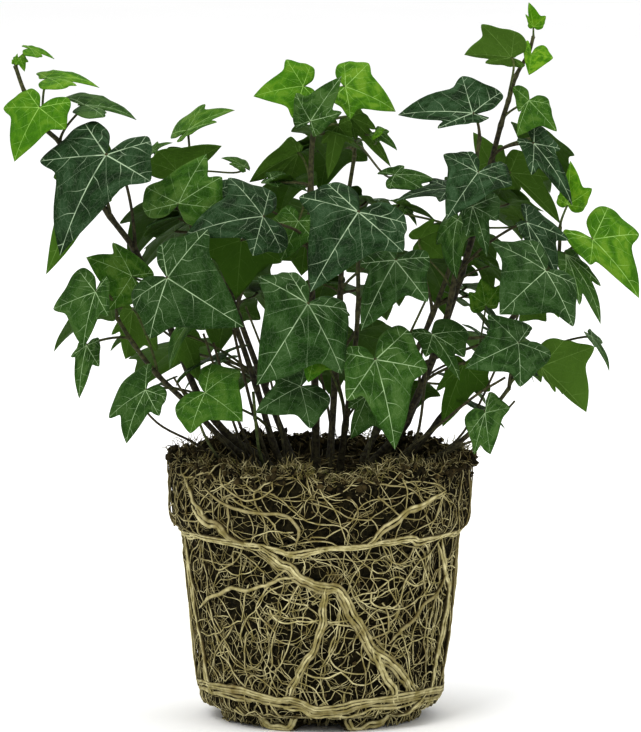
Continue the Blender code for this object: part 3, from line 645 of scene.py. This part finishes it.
def soil_material():
    n = Nodes("damp_compost")
    rough = n.noise(420.0, 5.0, rough=0.7)
    colour = n.mix(n.ramp(rough, 0.35, 0.7), *COMPOST)
    fleck = n.ramp(n.noise(900.0, 2.0), 0.66, 0.74)
    colour = n.mix(n.times(fleck, 0.6), colour, COMPOST_FLECK)
    n.bump(rough, 0.9, 0.0012)
    return n.done(colour, 0.95, 0.08)


def crumb_material():
    n = Nodes("compost_crumb")
    colour = n.mix(n.mark("tone"), n.mottle(CRUMB, 500.0, 4.0, 0.35, 0.65), CRUMB_PALE)
    n.bump(n.noise(1200.0, 4.0), 0.8, 0.0006)
    return n.done(colour, 0.95, 0.08)


def moss_material():
    n = Nodes("rim_moss")
    colour = n.mix(n.mark("tone"), *MOSS)
    colour = n.mix(n.ramp(n.noise(600.0, 2.0), 0.4, 0.7), colour, MOSS_GREEN)
    n.bump(n.noise(1500.0, 2.0), 0.4, 0.0003)
    return n.done(colour, 0.85, 0.2)


# ---------------------------------------------------------------- curves and tubes


def on_circle(radius, turn, height):
    """The point at this height on a circle round the plant's middle."""
    return Vector((radius * math.cos(turn), radius * math.sin(turn), height))


def wobble(wave, place, track):
    """A smooth random number from -1 to 1, which changes as the place does."""
    return noise.noise(Vector((wave, place, track)))


def smooth_route(points, steps):
    """A Catmull-Rom curve through the points, with this many steps between two of them."""
    points = [Vector(point) for point in points]
    before_first = points[0] * 2 - points[1]
    after_last = points[-1] * 2 - points[-2]
    padded = [before_first, *points, after_last]
    route = []
    for a, b, c, d in zip(padded, padded[1:], padded[2:], padded[3:]):
        for step in range(steps):
            t = step / steps
            route.append(0.5 * (2 * b + (c - a) * t + (2 * a - 5 * b + 4 * c - d) * t ** 2
                                + (3 * b - a - 3 * c + d) * t ** 3))
    route.append(points[-1])
    return route


def ring_faces(rings, sides):
    """The faces between rings of points that follow one another."""
    faces = []
    for ring in range(rings - 1):
        low, high = ring * sides, (ring + 1) * sides
        for side in range(sides):
            after = (side + 1) % sides
            faces.append((low + side, low + after, high + after, high + side))
    return faces


def add_tube(patch, route, radii, sides, outward=None, **marks):
    """Adds a closed tube. marks hold one number for each point of the route. outward, where given,
    lists the way out of the ball at each point, and the mark "facing" says how far a side looks out;
    the root material darkens the sides that look away as painted shade."""
    route = [Vector(point) for point in route]
    points = []
    facing = []
    spread = {name: [] for name in marks}
    across = Vector((0.31, 0.87, 0.38))  # any way that no route keeps to
    for number, (point, radius) in enumerate(zip(route, radii)):
        ahead = route[min(number + 1, len(route) - 1)]
        behind = route[max(number - 1, 0)]
        along = (ahead - behind).normalized()
        across = across - along * across.dot(along)
        if across.length < 1e-3:
            across = along.orthogonal()
        across.normalize()
        up = along.cross(across)
        for side in range(sides):
            turn = 2 * math.pi * side / sides
            away = across * math.cos(turn) + up * math.sin(turn)
            points.append(point + away * radius)
            if outward:
                facing.append(max(0.0, away.dot(outward[number])))
            for name, values in marks.items():
                spread[name].append(values[number])
    faces = ring_faces(len(route), sides)
    last = (len(route) - 1) * sides
    faces.append(tuple(range(sides))[::-1])
    faces.append(tuple(last + side for side in range(sides)))
    if outward:
        spread["facing"] = facing
    patch.add(points, faces, **spread)


# ---------------------------------------------------------------- leaves


def blade_axes(tip, face):
    along = Vector(tip).normalized()
    upward = Vector(face)
    upward = (upward - along * upward.dot(along)).normalized()
    return along, along.cross(upward), upward


def polar(degrees, reach):
    turn = math.radians(degrees)
    return Vector((reach * math.sin(turn), reach * math.cos(turn)))


def lobes_of(outline, junction, along, across, length):
    """The lobes of the left half and of the right half, each as (degrees, reach) of side and base."""
    if isinstance(outline, str):
        return FORMS[outline], FORMS[outline]
    seen = []
    right, back, height = junction
    wide = Vector((across.x, across.z + VIEW_SLOPE * across.y))
    high = Vector((along.x, along.z + VIEW_SLOPE * along.y))
    scale = wide.x * high.y - wide.y * high.x
    for lobe_right, lobe_height in outline:
        off = Vector((lobe_right - right, lobe_height - height - VIEW_SLOPE * back))
        x = (off.x * high.y - off.y * high.x) / scale / length
        y = (wide.x * off.y - wide.y * off.x) / scale / length
        seen.append((math.degrees(math.atan2(x, y)), min(math.hypot(x, y), MOST_REACH)))
    seen.sort()
    left = [(max(-turn, LEAST_TURN), reach) for turn, reach in (seen[1], seen[0])]
    right = [(max(turn, LEAST_TURN), reach) for turn, reach in (seen[2], seen[3])]
    for half in (left, right):
        (side_turn, _), (base_turn, base_reach) = half
        half[1] = (min(max(base_turn, side_turn + LEAST_TURN), MOST_TURN), base_reach)
    return left, right


def outline_corners(lobes, rng):
    """(place, bulge of the edge that leads there, softness) of each corner of half a blade."""
    (side_turn, side_reach), (base_turn, base_reach) = lobes
    vary = [1 + rng.uniform(-0.06, 0.06) for _ in range(2)]
    side = polar(side_turn, side_reach)
    base = polar(base_turn, base_reach)
    behind = 180 - base_turn
    between = side.lerp(base, 0.55) * 0.98 * vary[1]
    if between.length < LEAST_BETWEEN * min(side_reach, base_reach):
        between = between.normalized() * LEAST_BETWEEN * min(side_reach, base_reach)
    return [
        (polar(0, 1), 0.0, 0.2),
        (polar(0.70 * side_turn, 0.72 * side_reach * vary[0]), 0.045, 1.0),
        (side, 0.020, 0.45),
        (between, 0.012, 1.0),
        (base, 0.025, 1.0),
        (polar(base_turn + 0.32 * behind, 0.80 * base_reach), 0.040, 1.0),
        (polar(base_turn + 0.62 * behind, 0.46 * base_reach), 0.015, 1.0),
        (polar(base_turn + 0.85 * behind, 0.10 * base_reach), 0.000, 0.5),
    ]


def half_outline(lobes, rng):
    """One side of a blade of length 1, from its main tip to the notch at the stalk, as points."""
    corners = outline_corners(lobes, rng)
    points = [corners[0][0]]
    softness = [corners[0][2]]
    for (start, _, _), (end, bulge, soft) in zip(corners, corners[1:]):
        outward = Vector((end.y - start.y, start.x - end.x)).normalized()
        if outward.dot(start + end) < 0:
            outward.negate()
        for step in range(1, EDGE_STEPS + 1):
            t = step / EDGE_STEPS
            points.append(start.lerp(end, t) + outward * bulge * math.sin(math.pi * t))
            softness.append(soft if step == EDGE_STEPS else 1.0)
    for _ in range(SOFTENING):
        smooth = [points[0]]
        for before, point, after, soft in zip(points, points[1:], points[2:], softness[1:]):
            smooth.append(point.lerp((before + after) / 2, 0.5 * soft))
        points = [*smooth, points[-1]]
    return points


def vein_place(point, veins):
    """How far along, and how far off, the nearest main vein a place on the blade is."""
    turn = math.atan2(point.x, point.y)
    vein_turn, reach = min(veins, key=lambda vein: abs(vein[0] - turn))
    off = turn - vein_turn
    length = point.length
    return length * math.cos(off), length * math.sin(off), reach


class Blade:
    """One leaf blade: where it stands, its outline, its main veins and how it bends."""

    def __init__(self, junction, tip, face, outline, seed):
        rng = random.Random(seed)
        self.base = Vector(junction) + Vector((0, 0, SOIL_LEVEL))
        self.along, self.across, self.upward = blade_axes(tip, face)
        self.length = Vector(tip).length
        left_lobes, right_lobes = lobes_of(outline, junction, self.along, self.across, self.length)
        right = half_outline(right_lobes, rng)
        left = [Vector((-p.x, p.y)) for p in half_outline(left_lobes, rng)]
        self.border = [*reversed(left[1:]), (right[0] + left[0]) / 2, *right[1:]]
        self.veins = [(0.0, 1.0)]
        for sign, lobes in ((-1, left_lobes), (1, right_lobes)):
            self.veins += [(sign * math.radians(turn), reach) for turn, reach in lobes]
        self.fold = BLADE_FOLD * rng.uniform(0.7, 1.5)
        self.roll = BLADE_ROLL * rng.uniform(0.7, 1.3)
        self.ripple = rng.uniform(0.010, 0.024)
        self.ripples = rng.choice((5, 6, 7))
        self.phase = rng.uniform(0, 2 * math.pi)
        self.curl = rng.uniform(-0.02, 0.07)
        self.twist = rng.uniform(-0.08, 0.08)
        self.shade = rng.random()
        self.pattern_start = seed % 97  # so that no two leaves have the same clouds and net

    def lift(self, spot, ring):
        """How far a spot stands off the flat, as a share of the length."""
        along_vein, off_vein, _ = vein_place(spot, self.veins)
        x, y = spot.x, spot.y
        rise = BLADE_ARCH * y * (1 - y) + self.fold * abs(x) - self.roll * x * x + self.twist * x * y
        rise += self.ripple * ring ** 3 * math.sin(self.ripples * math.atan2(x, y) + self.phase)
        rise -= self.curl * ring ** 4 * spot.length
        quilt = min(abs(off_vein) / QUILT_WIDTH, 1.0)
        rise += QUILT_HEIGHT * math.sin(quilt * math.pi / 2) * min(1.0, along_vein * 5)
        return rise - QUILT_HEIGHT

    def place(self, spot, ring, offset):
        rise = self.lift(spot, ring) * self.length + offset * (1 - 0.6 * ring ** 6)
        return self.base + (self.across * spot.x + self.along * spot.y) * self.length + self.upward * rise


def add_blade(patch, blade, age):
    columns = len(blade.border)
    for layer, offset in enumerate((BLADE_THICKNESS / 2, -BLADE_THICKNESS / 2)):
        points = []
        blade_places = []
        vein_places = []
        for ring in BLADE_RINGS:
            for corner in blade.border:
                spot = corner * ring
                points.append(blade.place(spot, ring, offset))
                blade_places.append((spot.x + blade.pattern_start, spot.y, ring))
                vein_places.append(vein_place(spot, blade.veins) if ring else (0.0, 0.0, 1.0))
        faces = []
        for ring in range(len(BLADE_RINGS) - 1):
            for column in range(columns - 1):
                a = ring * columns + column
                b = a + columns
                quad = (a, a + 1, b + 1, b) if ring else (a, b + 1, b)
                faces.append(quad if layer == 0 else quad[::-1])
        marks = {
            "blade_place": blade_places,
            "vein_place": vein_places,
            "age": [age / 10] * len(points),
            "under": [float(layer)] * len(points),
            "shade": [blade.shade] * len(points),
        }
        patch.add(points, faces, **marks)
    join_edges(patch, columns)


def join_edges(patch, columns):
    """Closes the blade between its upper and lower layers, which were added last."""
    layer = columns * len(BLADE_RINGS)
    top = len(patch.points) - 2 * layer
    rim = (len(BLADE_RINGS) - 1) * columns
    border = [top + rim + column for column in range(columns)]
    for first, second in zip(border, border[1:]):
        patch.faces.append([first, second, second + layer, first + layer])
    for column, flip in ((0, False), (columns - 1, True)):
        for ring in range(len(BLADE_RINGS) - 1):
            a = top + ring * columns + column
            quad = [a, a + columns, a + columns + layer, a + layer]
            patch.faces.append(quad[::-1] if flip else quad)


def stalk_route(shoot, number, junction, tip, face):
    """An arching curve from the shoot's point to where the blade begins."""
    rise = Vector((0, 0, SOIL_LEVEL))
    start = Vector(SHOOTS[shoot][2][number]) + rise
    along, _, upward = blade_axes(tip, face)
    end = Vector(junction) + rise - upward * 0.15
    length = (end - start).length
    leaving = start + Vector((0, 0, 0.3 * length))
    arriving = end - (along * 0.4 + upward * 0.9).normalized() * 0.3 * length
    route = []
    for step in range(STALK_STEPS + 1):
        t = step / STALK_STEPS
        route.append(start * (1 - t) ** 3 + leaving * 3 * t * (1 - t) ** 2
                     + arriving * 3 * t ** 2 * (1 - t) + end * t ** 3)
    return route


def add_stalk(patch, shoot, number, junction, tip, face, age):
    route = stalk_route(shoot, number, junction, tip, face)
    size = min(1.0, 0.45 + Vector(tip).length / 60)
    count = len(route)
    radii = [size * (0.62 + 0.35 * (1 - step / count) ** 6 + 0.12 * (step / count) ** 8)
             for step in range(count)]
    growth = [0.55 + 0.4 * step / count for step in range(count)]
    add_tube(patch, route, radii, 8, growth=growth, tone=[0.15 + 0.085 * age] * count)


def filler_leaves():
    """Leaves of the plant's shaded middle and back, placed by chance along the shoots."""
    rng = random.Random(21)
    made = {}
    for shoot, count in FILLERS.items():
        route = SHOOTS[shoot][2]
        for number in range(count):
            knot = 1 + number % (min(len(route), 6) - 1)
            base = Vector(route[knot])
            turn = rng.uniform(-0.9, 0.9) + math.atan2(base.y + 30, base.x)
            reach = rng.uniform(10, 26)
            out = on_circle(1, turn, 0)
            junction = base + out * reach + Vector((0, 0, rng.uniform(0, 14)))
            length = rng.uniform(17, 29)
            drop = rng.uniform(0.5, 1.4)
            way = out + Vector((rng.uniform(-0.4, 0.4), rng.uniform(-0.2, 0.4), -drop))
            tip = way.normalized() * length
            face = out * rng.uniform(0.5, 0.9) + Vector((0, 0, rng.uniform(0.5, 1.0)))
            form = rng.choice(("mature", "mature", "broad", "tailed"))
            if (junction + tip).z < LOWEST_FILLER:
                continue
            age = rng.choice((0, 1, 1, 2, 3))
            made[f"{shoot}_fill_{number}"] = (
                shoot, knot, tuple(junction), tuple(tip), tuple(face), form, age)
    return made


def make_leaves(surface):
    """Makes each blade a piece, and gives the leaf stalks that grow from each shoot."""
    stalks = {shoot: Patch() for shoot in SHOOTS}
    everything = {**LEAVES, **SMALL_LEAVES, **filler_leaves()}
    for seed, (name, leaf) in enumerate(everything.items()):
        shoot, number, junction, tip, face, outline, age = leaf
        patch = Patch()
        add_blade(patch, Blade(junction, tip, face, outline, seed * 7 + 3), age)
        slot = "young_leaf" if age > OLD_AGE else "old_leaf"
        replaced = ("leaf_" + name,) if name in LEAVES else ()
        patch.finish("blade_" + name, surface, slot, replaced)
        add_stalk(stalks[shoot], shoot, number, junction, tip, face, age)
    return stalks


def shoot_route(points):
    base = Vector(points[0]) + Vector((0, 0, SOIL_LEVEL))
    start = base - Vector((0, 0, 2.5))
    bend = base + Vector((0, 0, 4))
    rest = [Vector(point) + Vector((0, 0, SOIL_LEVEL)) for point in points[1:]]
    return smooth_route([start, bend, *rest], SHOOT_STEPS)


def make_shoots(surface, stalks):
    """Each shoot with its leaf stalks, thickened a little at its knots."""
    for name, (thick, thin, points) in SHOOTS.items():
        route = shoot_route(points)
        count = len(route)
        radii = []
        for step in range(count):
            share = step / (count - 1)
            knot = 1.0 + 0.22 * max(0.0, math.cos(2 * math.pi * step / SHOOT_STEPS)) ** 6
            radii.append((thick + (thin - thick) * share ** 0.8) * knot)
        growth = [0.7 * step / count for step in range(count)]
        add_tube(stalks[name], route, radii, 12, growth=growth, tone=[0.35] * count)
        stalks[name].finish(name + "_shoot_bark", surface, "shoot", (name + "_shoot",))


def make_thin_stems(surface):
    patch = Patch()
    for thickness, green, points in THIN_STEMS:
        route = shoot_route(points)
        count = len(route)
        growth = [0.2 + 0.6 * step / count for step in range(count)]
        add_tube(patch, route, [thickness * (1 - 0.3 * step / count) for step in range(count)], 7,
                 growth=growth, tone=[green] * count)
    patch.finish("thin_stems", surface, "shoot")


# ---------------------------------------------------------------- root ball


class Skin:
    """The root ball's surface: a place is degrees round and millimetres up its outline."""

    def __init__(self):
        self.outline = [Vector((radius, height)) for radius, height in PROFILE]
        self.starts = [0.0]
        for low, high in zip(self.outline, self.outline[1:]):
            self.starts.append(self.starts[-1] + (high - low).length)
        self.length = self.starts[-1]

    def at(self, degrees, up):
        """(point, outward direction) there."""
        up = min(max(up, 0.0), self.length - 1e-3)
        number = max(i for i, start in enumerate(self.starts[:-1]) if start <= up)
        low, high = self.outline[number], self.outline[number + 1]
        share = (up - self.starts[number]) / (high - low).length
        radius, height = low.lerp(high, share)
        slope = self.slope(number, share)
        radius = self.drained(degrees, radius, height)
        turn = math.radians(degrees)
        outward = Vector((math.sin(turn) * slope.y, -math.cos(turn) * slope.y, -slope.x))
        height -= self.dip(degrees, height)
        return Vector((radius * math.sin(turn), -radius * math.cos(turn), height)), outward

    def dip(self, degrees, height):
        """How far the crumbled rim lies under its whole height."""
        share = max(0.0, (height - RIM_DIP_START) / (RIM_HEIGHT - RIM_DIP_START))
        depth = 0.0
        for middle, width, most in RIM_DIPS:
            off = (degrees - middle + 180) % 360 - 180
            depth += most * math.exp(-(off / width) ** 2)
        return depth * share

    def slope(self, number, share):
        """The outline's direction, smoothed round its corners."""
        here = (self.outline[number + 1] - self.outline[number]).normalized()
        if share < 0.5 and number:
            there = (self.outline[number] - self.outline[number - 1]).normalized()
            return here.lerp(there, 0.5 - share).normalized()
        if share >= 0.5 and number + 2 < len(self.outline):
            there = (self.outline[number + 2] - self.outline[number + 1]).normalized()
            return here.lerp(there, share - 0.5).normalized()
        return here

    def drained(self, degrees, radius, height):
        """Where a drain channel cuts the foot, the surface lies further in."""
        if height > DRAIN_TOP:
            return radius
        sector = 360 / DRAINS
        off = math.radians((degrees + sector / 2) % sector - sector / 2)
        if abs(radius * math.sin(off)) < DRAIN_HALF_WIDTH:
            return DRAIN_INNER / math.cos(off)
        return radius

    def up_at(self, height):
        """How far up the outline a height on the outside of the ball is."""
        for number, (low, high) in enumerate(zip(self.outline, self.outline[1:])):
            if low.y <= height <= high.y:
                share = (height - low.y) / max(high.y - low.y, 1e-6)
                return self.starts[number] + share * (high - low).length
        return self.length


SKIN = Skin()
RIM_UP = SKIN.up_at(RIM_HEIGHT - 0.1)
COLLAR_UP = SKIN.up_at(COLLAR_HEIGHT)
HIGHEST_ROOT = RIM_UP + 3


def soil_point(degrees, up):
    """The compost's surface: a little under the roots, uneven, and more so along the rim."""
    point, outward = SKIN.at(degrees, up)
    rough = noise.fractal(point * 0.22, 0.7, 2.0, 4)
    lumps = noise.noise(point * 0.55)
    sink = SOIL_SINK if up < RIM_UP - RIM_REACH else RIM_SINK
    swell = 1.3 * rough + 0.6 * lumps - sink
    if up > RIM_UP - RIM_REACH:
        swell += 1.8 * noise.noise(point * 0.12) + 0.9 * rough
    if point.z < 1.0:
        swell = min(swell, 0.0)
    place = point + outward * swell
    place.z = max(place.z, LOWEST)
    return place


def make_soil():
    """The compost: a closed lathed shape with a crumbly surface."""
    points = []
    for row in range(SOIL_ROWS + 1):
        for column in range(SOIL_COLUMNS):
            points.append(soil_point(360 * column / SOIL_COLUMNS, SKIN.length * row / SOIL_ROWS))
    faces = ring_faces(SOIL_ROWS + 1, SOIL_COLUMNS)
    bottom, top = len(points), len(points) + 1
    points.append(Vector((0, 0, LOWEST)))
    points.append(Vector((0, 0, SOIL_LEVEL - 1)))
    last = SOIL_ROWS * SOIL_COLUMNS
    for column in range(SOIL_COLUMNS):
        after = (column + 1) % SOIL_COLUMNS
        faces.append((bottom, after, column))
        faces.append((top, last + column, last + after))
    patch = Patch()
    patch.add(points, faces)
    patch.finish("compost", soil_material(), "soil", ("soil_plug",))


def root_walk(rng, degrees, up, heading, length, step, wildness):
    """Places (degrees, up) along a root that wanders over the skin."""
    places = [(degrees, up)]
    bend = rng.gauss(0, 0.06)
    for _ in range(int(length / step)):
        bend = 0.80 * bend + rng.gauss(0, 0.085) * wildness
        heading += bend + rng.gauss(0, 0.15) * wildness
        if rng.random() < 0.08 * wildness:
            heading += rng.choice((-1, 1)) * rng.uniform(0.5, 1.2)
        degrees += math.degrees(step * math.cos(heading) / MIDDLE_RADIUS)
        up += step * math.sin(heading)
        if up < LOWEST_ROOT or up > HIGHEST_ROOT:
            heading = -heading
            up = min(max(up, LOWEST_ROOT), HIGHEST_ROOT)
        places.append((degrees, up))
    return places


def lay_root(patch, rng, places, radius, depth, tone):
    """Adds one root along the places, rising over and dipping under its neighbours."""
    route = []
    outs = []
    wave = rng.uniform(0, 100)
    count = len(places)
    for number, (degrees, up) in enumerate(places):
        point, outward = SKIN.at(degrees, up)
        lift = depth + 0.75 * radius * wobble(wave, number * 0.23, 0)
        end = min(number, count - 1 - number)
        if end < 3:
            lift -= (3 - end) * 0.28
        place = point + outward * lift
        place.z = max(place.z, radius + 0.05)
        route.append(place)
        outs.append(outward)
    radii = []
    for number in range(count):
        taper = 1 - 0.45 * number / count
        radii.append(radius * taper * (1 + 0.16 * wobble(wave, number * 0.7, 5)))
    add_tube(patch, route, radii, 5, outs, tone=[tone] * count)


def make_fine_roots(surface):
    rng = random.Random(77)
    for name, (pieces, roots, step, radius, depth, length, wildness, tone) in ROOT_LAYERS.items():
        for piece in range(pieces):
            patch = Patch()
            for _ in range(roots):
                degrees = rng.uniform(0, 360)
                up = rng.uniform(LOWEST_ROOT, RIM_UP + 2)
                heading = rng.choice((rng.uniform(0, 2 * math.pi), rng.gauss(-1.3, 0.5)))
                dulled = COLLAR_DULLING if up > COLLAR_UP else 1.0
                places = root_walk(rng, degrees, up, heading, rng.uniform(*length), step, wildness)
                lay_root(patch, rng, places, rng.uniform(*radius), rng.uniform(*depth),
                         rng.uniform(*tone) * dulled)
            patch.finish(f"{name}_{piece}", surface, "root")


def strand_line(route, phase, lane, thickness):
    """(places, outward directions) of one strand beside the middle line of its thick root."""
    line = []
    outs = []
    for number, place in enumerate(route):
        after = route[min(number + 1, len(route) - 1)]
        before = route[max(number - 1, 0)]
        point, outward = SKIN.at(place.x, place.y)
        ahead, _ = SKIN.at(after.x, after.y)
        behind, _ = SKIN.at(before.x, before.y)
        sideways = (ahead - behind).normalized().cross(outward).normalized()
        drift = wobble(phase, number * 0.16, 4)
        shared = 1.1 * wobble(thickness, number * 0.22, 7)
        knobbly = 0.45 * wobble(phase, number * 0.7, 1)
        rise = 0.35 * thickness * math.cos(0.23 * number + 2 * phase)
        off = lane * (1 + 0.6 * drift) + 1.3 * thickness * drift + shared + knobbly
        line.append(point + sideways * off + outward * (thickness * 0.7 + rise))
        outs.append(outward)
    return line, outs


def add_bundle(patch, rng, strands, thickness, points):
    """A thick root: strands that run side by side and cross now and then."""
    route = smooth_route([(degrees, SKIN.up_at(height), 0) for degrees, height in points], 7)
    count = len(route)
    for strand in range(strands):
        phase = rng.uniform(0, 6.28)
        lane = (strand - (strands - 1) / 2) * thickness * 1.75
        tone = rng.uniform(0.35, 0.95)
        line, outs = strand_line(route, phase, lane, thickness)
        radii = []
        for number, place in enumerate(line):
            end = min(number, count - 1 - number) / 6
            swell = 1 + 0.45 * wobble(phase, number * 0.5, 9)
            radius = thickness * swell * min(1.0, 0.45 + 0.55 * end)
            place.z = max(place.z, radius + 0.05)
            radii.append(radius)
        add_tube(patch, line, radii, 8, outs, tone=[tone] * count)


def make_thick_roots(surface):
    rng = random.Random(5)
    for name, (strands, thickness, points) in THICK_ROOTS.items():
        patch = Patch()
        add_bundle(patch, rng, strands, thickness, points)
        patch.finish(name + "_strands", surface, "root", (name,))
    patch = Patch()
    for strands, thickness, points in EXTRA_ROOTS.values():
        add_bundle(patch, rng, strands, thickness, points)
    patch.finish("branch_roots", surface, "root")


def crumb_corners():
    """The twelve corners of an icosahedron."""
    golden = (1 + 5 ** 0.5) / 2
    corners = []
    for a, b in ((-1, golden), (1, golden), (-1, -golden), (1, -golden)):
        corners += [Vector((a, b, 0)), Vector((0, a, b)), Vector((b, 0, a))]
    return corners


def crumb_faces(corners):
    """The twenty triangles between corners that lie next to one another."""
    faces = []
    for trio in itertools.combinations(range(len(corners)), 3):
        a, b, c = (corners[number] for number in trio)
        if max((a - b).length, (b - c).length, (a - c).length) < 2.1:
            outward = (b - a).cross(c - a).dot(a) > 0
            faces.append(trio if outward else (trio[0], trio[2], trio[1]))
    return faces


CRUMB_CORNERS = crumb_corners()
CRUMB_FACES = crumb_faces(CRUMB_CORNERS)


def add_crumb(patch, rng, centre, size, tone):
    """An uneven lump."""
    spin = Vector((rng.random(), rng.random(), rng.random())).to_track_quat("X", "Z")
    stretch = Vector((rng.uniform(0.6, 1.4), rng.uniform(0.6, 1.4), rng.uniform(0.5, 1.0)))
    points = []
    for corner in CRUMB_CORNERS:
        shaped = corner.normalized() * size * rng.uniform(0.7, 1.2)
        points.append(centre + spin @ Vector([c * s for c, s in zip(shaped, stretch)]))
    patch.add(points, CRUMB_FACES, tone=[tone] * len(points))


def make_crumbs():
    """Crumbs along the rim, on the soil between the shoots and between the roots of the wall."""
    rng = random.Random(9)
    patch = Patch()
    for _ in range(RIM_CRUMBS):
        degrees = rng.uniform(0, 360)
        up = RIM_UP + rng.uniform(-7, 10)
        point, outward = SKIN.at(degrees, up)
        size = rng.uniform(0.5, 1.9)
        add_crumb(patch, rng, point + outward * rng.uniform(-0.3, 1.8), size, rng.random() ** 3)
    for _ in range(SOIL_CRUMBS):
        radius = 52 * rng.random() ** 0.5
        turn = rng.uniform(0, 2 * math.pi)
        centre = on_circle(radius, turn, SOIL_LEVEL + rng.uniform(-0.4, 1.2))
        add_crumb(patch, rng, centre, rng.uniform(0.5, 2.2), rng.random() ** 3)
    for _ in range(WALL_CRUMBS):
        point, outward = SKIN.at(rng.uniform(0, 360), rng.uniform(8, RIM_UP))
        centre = point + outward * rng.uniform(-1.2, -0.2)
        add_crumb(patch, rng, centre, rng.uniform(0.4, 1.2), rng.random() ** 2)
    patch.finish("compost_crumbs", crumb_material(), "soil")


def add_wisp(patch, rng, start, way, length, radius, tone, steps=7, bendy=0.35):
    """A short free root or moss thread that curls as it goes."""
    route = [start]
    way = way.normalized()
    for _ in range(steps):
        way = (way + Vector((rng.gauss(0, bendy), rng.gauss(0, bendy), rng.gauss(0, bendy)))).normalized()
        route.append(route[-1] + way * length / steps)
    radii = [radius * (1 - 0.6 * step / steps) for step in range(steps + 1)]
    # For roots, the root material darkens the side turned away from the lit side as painted shade.
    add_tube(patch, route, radii, 4, [WISP_LIT_SIDE] * (steps + 1), tone=[tone] * (steps + 1))


def add_rim_threads(patch, rng):
    """Short roots that stick out all along the rim."""
    for _ in range(RIM_THREADS):
        degrees = rng.uniform(0, 360)
        point, outward = SKIN.at(degrees, RIM_UP + rng.uniform(-4, 9))
        way = outward * 0.5 + Vector((rng.gauss(0, 0.8), rng.gauss(0, 0.8), rng.uniform(-0.5, 0.15)))
        add_wisp(patch, rng, point, way, rng.uniform(3, 10), rng.uniform(0.14, 0.36),
                 rng.uniform(0.0, 1.0) ** 1.6, bendy=0.5)


def add_soil_roots(patch, rng):
    """Roots that lie on the soil between the shoots."""
    for _ in range(SOIL_ROOTS):
        radius = 50 * rng.random() ** 0.5
        turn = rng.uniform(0, 2 * math.pi)
        start = on_circle(radius, turn, SOIL_LEVEL + 1)
        way = on_circle(1, rng.uniform(0, 2 * math.pi), 0.05)
        add_wisp(patch, rng, start, way, rng.uniform(8, 26), rng.uniform(0.2, 0.5),
                 rng.uniform(0.0, 0.6), steps=12, bendy=0.16)


def add_torn_roots(patch, rng):
    for middle, width, threads in TORN_TUFTS:
        for _ in range(threads):
            point, outward = SKIN.at(middle + rng.gauss(0, width / 2), RIM_UP + rng.uniform(-3, 2))
            way = outward * 0.4 + Vector((rng.gauss(0, 0.9), rng.gauss(0, 0.5), rng.uniform(-0.3, 0.9)))
            add_wisp(patch, rng, point, way, rng.uniform(4, 11), rng.uniform(0.16, 0.34),
                     rng.uniform(0.45, 1.0), bendy=0.55)


def add_moss(patch, rng):
    for middle, over_rim, width, threads in MOSS_CLUMPS:
        for _ in range(threads):
            degrees = middle + rng.gauss(0, width / 2)
            point, outward = SKIN.at(degrees, RIM_UP + over_rim + rng.gauss(0, 2.2))
            way = Vector((rng.gauss(0, 0.7), rng.gauss(0, 0.7), rng.uniform(0.3, 1.0))) + outward * 0.5
            add_wisp(patch, rng, point, way, rng.uniform(2, 6.5), rng.uniform(0.12, 0.3), rng.random(),
                     steps=5)


def make_rim(surface):
    """Torn roots and moss threads along the rim and over the soil."""
    rng = random.Random(31)
    fibres = Patch()
    add_rim_threads(fibres, rng)
    add_soil_roots(fibres, rng)
    add_torn_roots(fibres, rng)
    fibres.finish("rim_fibres", surface, "root")
    moss = Patch()
    add_moss(moss, rng)
    moss.finish("rim_moss", moss_material(), "soil")


# ---------------------------------------------------------------- studio, in metres


def place_and_point(thing, place, target):
    bpy.context.scene.collection.objects.link(thing)
    thing.location = place
    thing.rotation_euler = (Vector(target) - thing.location).to_track_quat("-Z", "Y").to_euler()


def make_camera():
    data = bpy.data.cameras.new("camera")
    data.sensor_fit = "VERTICAL"
    data.sensor_height = 36.0
    data.lens = CAMERA_LENS
    data.clip_end = 50
    camera = bpy.data.objects.new("camera", data)
    tilt = math.radians(CAMERA_TILT)
    target = Vector(CAMERA_TARGET)
    away = CAMERA_DISTANCE * Vector((0, -math.cos(tilt), math.sin(tilt)))
    place_and_point(camera, target + away, target)
    bpy.context.scene.camera = camera


def make_lights():
    for name, (place, size, power) in LIGHTS.items():
        data = bpy.data.lights.new(name, "AREA")
        data.size = size
        data.energy = power
        place_and_point(bpy.data.objects.new(name, data), place, LIGHT_TARGET)


def make_floor():
    n = Nodes("studio_floor")
    n.done(n.mottle(FLOOR_WHITES, 3.0, 2.0, 0.3, 0.7), 0.85, 0.2)
    mesh = bpy.data.meshes.new("floor")
    corners = [(x * FLOOR_REACH, y * FLOOR_REACH, 0) for x, y in ((-1, -1), (1, -1), (1, 1), (-1, 1))]
    mesh.from_pydata(corners, [], [(0, 1, 2, 3)])
    mesh.materials.append(n.material)
    floor = bpy.data.objects.new("floor", mesh)
    bpy.context.scene.collection.objects.link(floor)


def make_world():
    world = bpy.data.worlds.new("studio")
    world.use_nodes = True
    background = world.node_tree.nodes["Background"]
    background.inputs["Color"].default_value = (1.0, 1.0, 1.0, 1)
    background.inputs["Strength"].default_value = WORLD_STRENGTH
    bpy.context.scene.world = world
    bpy.context.scene.view_settings.view_transform = "Standard"
    bpy.context.scene.view_settings.gamma = VIEW_GAMMA


make_camera()
make_floor()
make_world()
make_lights()

leaf_stalks = make_leaves(leaf_material())
shoot_surface = shoot_material()
make_shoots(shoot_surface, leaf_stalks)
make_thin_stems(shoot_surface)

make_soil()
root_surface = root_material()
make_thick_roots(root_surface)
make_fine_roots(root_surface)
make_crumbs()
make_rim(root_surface)
